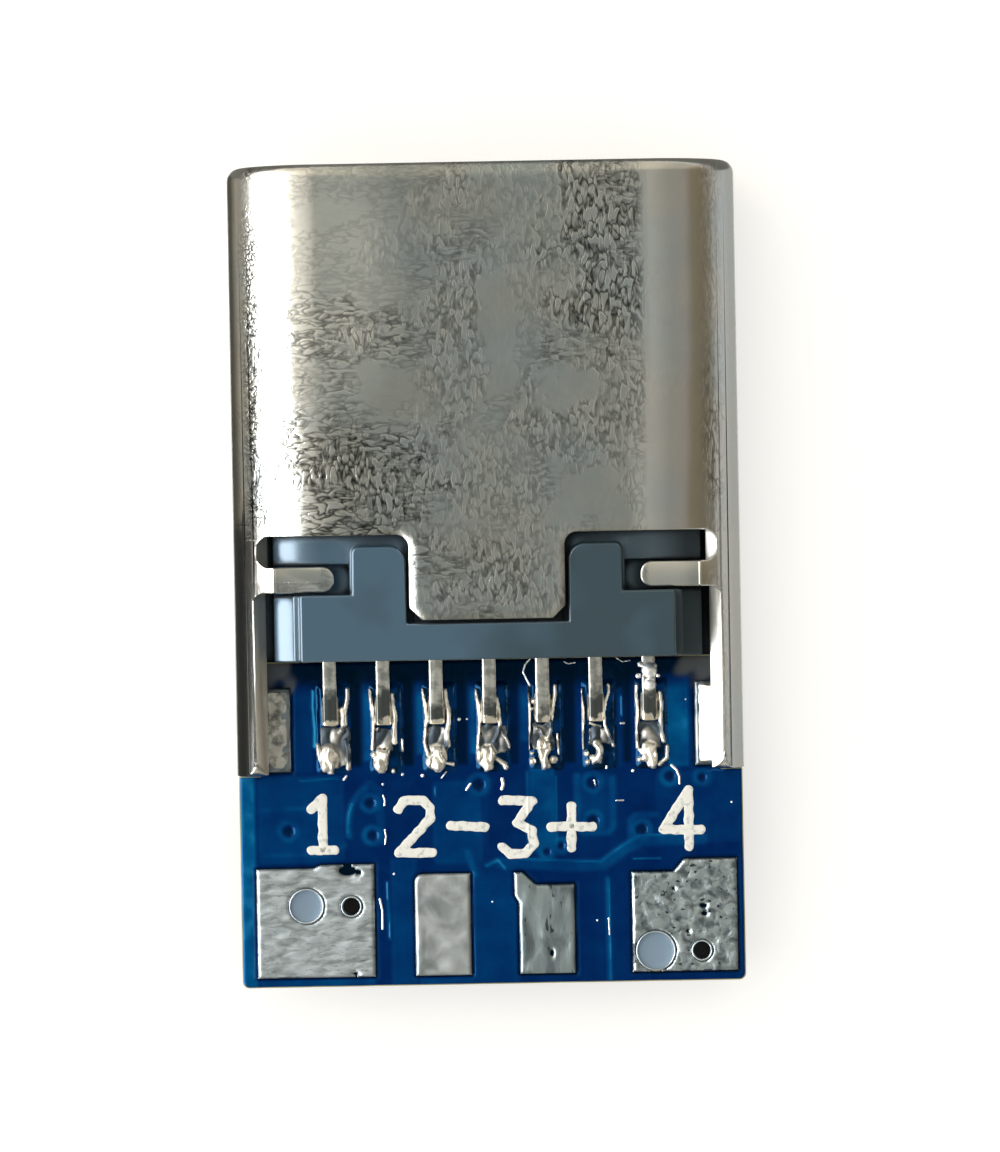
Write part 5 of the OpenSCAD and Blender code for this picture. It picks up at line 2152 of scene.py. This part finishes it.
@dataclass
class Studio:
    """Floor, cards, lamps and camera.

    Attributes:
        focus_x, focus_back: the point under the middle of the photograph.
        photo_width: how much of the part's plane the photograph spans.
        roll: how far the part is turned in the photograph, in degrees.
        distance: from the part's mid-plane to the camera.
        floor_half: half of the floor's side.
        sensor: the camera's width inside.
        floor_lift: how much of its light the floor gives itself, as far as it is seen.
        room_strength: how bright the room is.
        across: the room's tones from left to right: a window wall, a ceiling that is dark over the camera,
            and a beige wall.
        along: what they are multiplied by from the rear to the front.
    """

    focus_x: float = 0.227
    focus_back: float = 7.254
    photo_width: float = 17.637
    roll: float = 1.05
    distance: float = 150.0
    floor_half: float = 400.0
    sensor: float = 36.0
    floor_lift: float = 0.52
    room_strength: float = 3.4
    across: tuple = (
        (0.0, "#d0d0d0"), (0.16, "#f4f0e0"), (0.23, "#c4c4c0"), (0.42, "#949490"), (0.49, "#606868"),
        (0.51, "#606868"), (0.56, "#a0a09c"), (0.8, "#848480"), (0.92, "#888480"), (0.96, "#706858"),
    )
    along: tuple = ((0.0, "#ccc4b4"), (0.4, "#b2b2b2"), (0.54, "#c2c0bc"), (0.7, "#eee6da"))
    cards: tuple = (
        Card(
            "low_card_left_rear", ((-22, -30, 0.02), (-4.9, -30, 0.02), (-4.9, 0.9, 0.02), (-22, 0.9, 0.02)),
            (
                (-22, "#a2a29c"), (-17, "#5c5d56"), (-14.4, "#f0f0ec"), (-12.6, "#ffffff"),
                (-10.6, "#f4f4f0"), (-9.7, "#2a2b24"), (-9, "#0a0b08"), (-6, "#080906"), (-4.9, "#404038"),
            ),
        ),
        Card(
            "low_card_left_front", ((-22, 0.9, 0.02), (-4.9, 0.9, 0.02), (-4.9, 30, 0.02), (-22, 30, 0.02)),
            (
                (-22, "#b8b8b0"), (-11, "#c8c4bc"), (-9.5, "#949084"), (-7.3, "#bcb4a4"), (-5.9, "#504c40"),
            ),
        ),
        Card(
            "low_card_right", ((4.9, -30, 0.02), (160, -30, 0.02), (160, 30, 0.02), (4.9, 30, 0.02)),
            (
                (4.9, "#9a9a94"), (8, "#b8b8b6"), (17, "#a4a09a"), (25, "#86827a"), (44, "#706c60"),
            ),
            1.5,
        ),
        Card(
            "low_card_front", ((-12, 7.5, 0.03), (12, 7.5, 0.03), (12, 40, 0.03), (-12, 40, 0.03)),
            ((0, "#7e7e78"),),
        ),
        Card(
            "window", ((-60, -60, 3), (-60, 60, 3), (-60, 60, 60), (-60, -60, 60)),
            ((0, "#ffffff"),), 10.0,
        ),
    )

    def build(self) -> None:
        """Adds the floor, the cards, the room, the lamp and the camera."""
        self.add_floor()
        for card in self.cards:
            card.build()
        self.add_room()
        self.add_lamp("overhead", (-0.15, 0.05, 1.0), 160, (170, 170), 1.5, "#fffdf8")
        self.add_camera()

    def add_floor(self) -> None:
        """Adds a white floor that keeps a soft shadow."""
        h = self.floor_half * MM
        floor = new_object("floor", [(-h, -h, 0), (h, -h, 0), (h, h, 0), (-h, h, 0)], [(0, 1, 2, 3)])
        floor.location.z = -0.01 * MM
        material = new_material("matt_white_paper")
        tree = material.node_tree
        seen = 0.0
        for kind in ("Is Camera Ray", "Is Glossy Ray", "Is Transmission Ray"):
            ray = add_node(tree, "LightPath").outputs[kind]
            seen = add_node(tree, "Math", (seen, ray), operation="MAXIMUM")
        lift = add_node(tree, "Math", (seen, self.floor_lift), operation="MULTIPLY")
        paper = add_node(tree, "BsdfDiffuse", {"Color": linear("#c6c6c6")})
        glow = add_node(tree, "Emission", ((1, 1, 1, 1), lift))
        add_node(tree, "OutputMaterial", {"Surface": add_node(tree, "AddShader", (paper, glow))})
        floor.data.materials.append(material)

    def add_room(self) -> None:
        """Adds the room that the metal shows: a window wall on the left, a grey ceiling, a beige wall."""
        world = bpy.data.worlds.new("room")
        bpy.context.scene.world = world
        world.use_nodes = True
        tree = world.node_tree
        tree.nodes.clear()
        way = add_node(tree, "SeparateXYZ", (add_node(tree, "TexCoord").outputs["Generated"],))
        tones = []
        for axis, ramp in (("X", self.across), ("Y", self.along)):
            share = add_node(tree, "MapRange", (way.outputs[axis], -1, 1))
            tones.append(add_node(tree, "ValToRGB", (share,), ramp=ramp))
        walls = add_node(tree, "Mix", (1.0, *tones), data_type="RGBA", blend_type="MULTIPLY")
        room = add_node(tree, "Background", (walls, self.room_strength))
        add_node(tree, "OutputWorld", {"Surface": room})

    def add_lamp(
        self, name: str, direction: tuple, distance: float, size: tuple, radiance: float, tint: str
    ) -> bpy.types.Object:
        """Adds a soft rectangular lamp that faces the part.

        Args:
            name: the lamp's name.
            direction: from the part towards the lamp.
            distance: from the part to the lamp.
            size: the lamp's two sides.
            radiance: its brightness, where one is paper white.
            tint: its colour.

        Returns:
            The lamp.
        """
        data = bpy.data.lights.new(name, "AREA")
        data.shape = "RECTANGLE"
        data.size, data.size_y = (side * MM for side in size)
        data.energy = radiance * math.pi * data.size * data.size_y
        data.color = linear(tint)[:3]
        lamp = linked(name, data)
        aim = Vector(direction).normalized()
        lamp.location = Vector((0, 0, MID_Z * MM)) + aim * distance * MM
        lamp.rotation_euler = aim.to_track_quat("Z", "Y").to_euler()
        lamp.visible_camera = False
        lamp.visible_glossy = False
        return lamp

    def add_camera(self) -> None:
        """Adds the camera, straight above, as the photograph was taken."""
        data = bpy.data.cameras.new("camera")
        data.sensor_fit = "HORIZONTAL"
        data.sensor_width = self.sensor
        data.lens = self.sensor * self.distance / self.photo_width
        data.clip_start = 0.01
        data.clip_end = 10
        camera = linked("camera", data)
        camera.location = (
            self.focus_x * MM, (HALF_LENGTH - self.focus_back) * MM, (MID_Z + self.distance) * MM
        )
        camera.rotation_euler = (0, 0, math.radians(-self.roll))
        bpy.context.scene.camera = camera


def main() -> None:
    """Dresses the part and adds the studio."""
    logging.basicConfig(level=logging.INFO, format="%(message)s")
    Receptacle().build()
    board = Board()
    board.build()
    Joints().build()
    GlintsAndBeads().build()
    WingSolder().build()
    Marks().build(board)
    Studio().build()
    bpy.context.scene.view_settings.view_transform = "Standard"


if __name__ == "__main__":
    main()
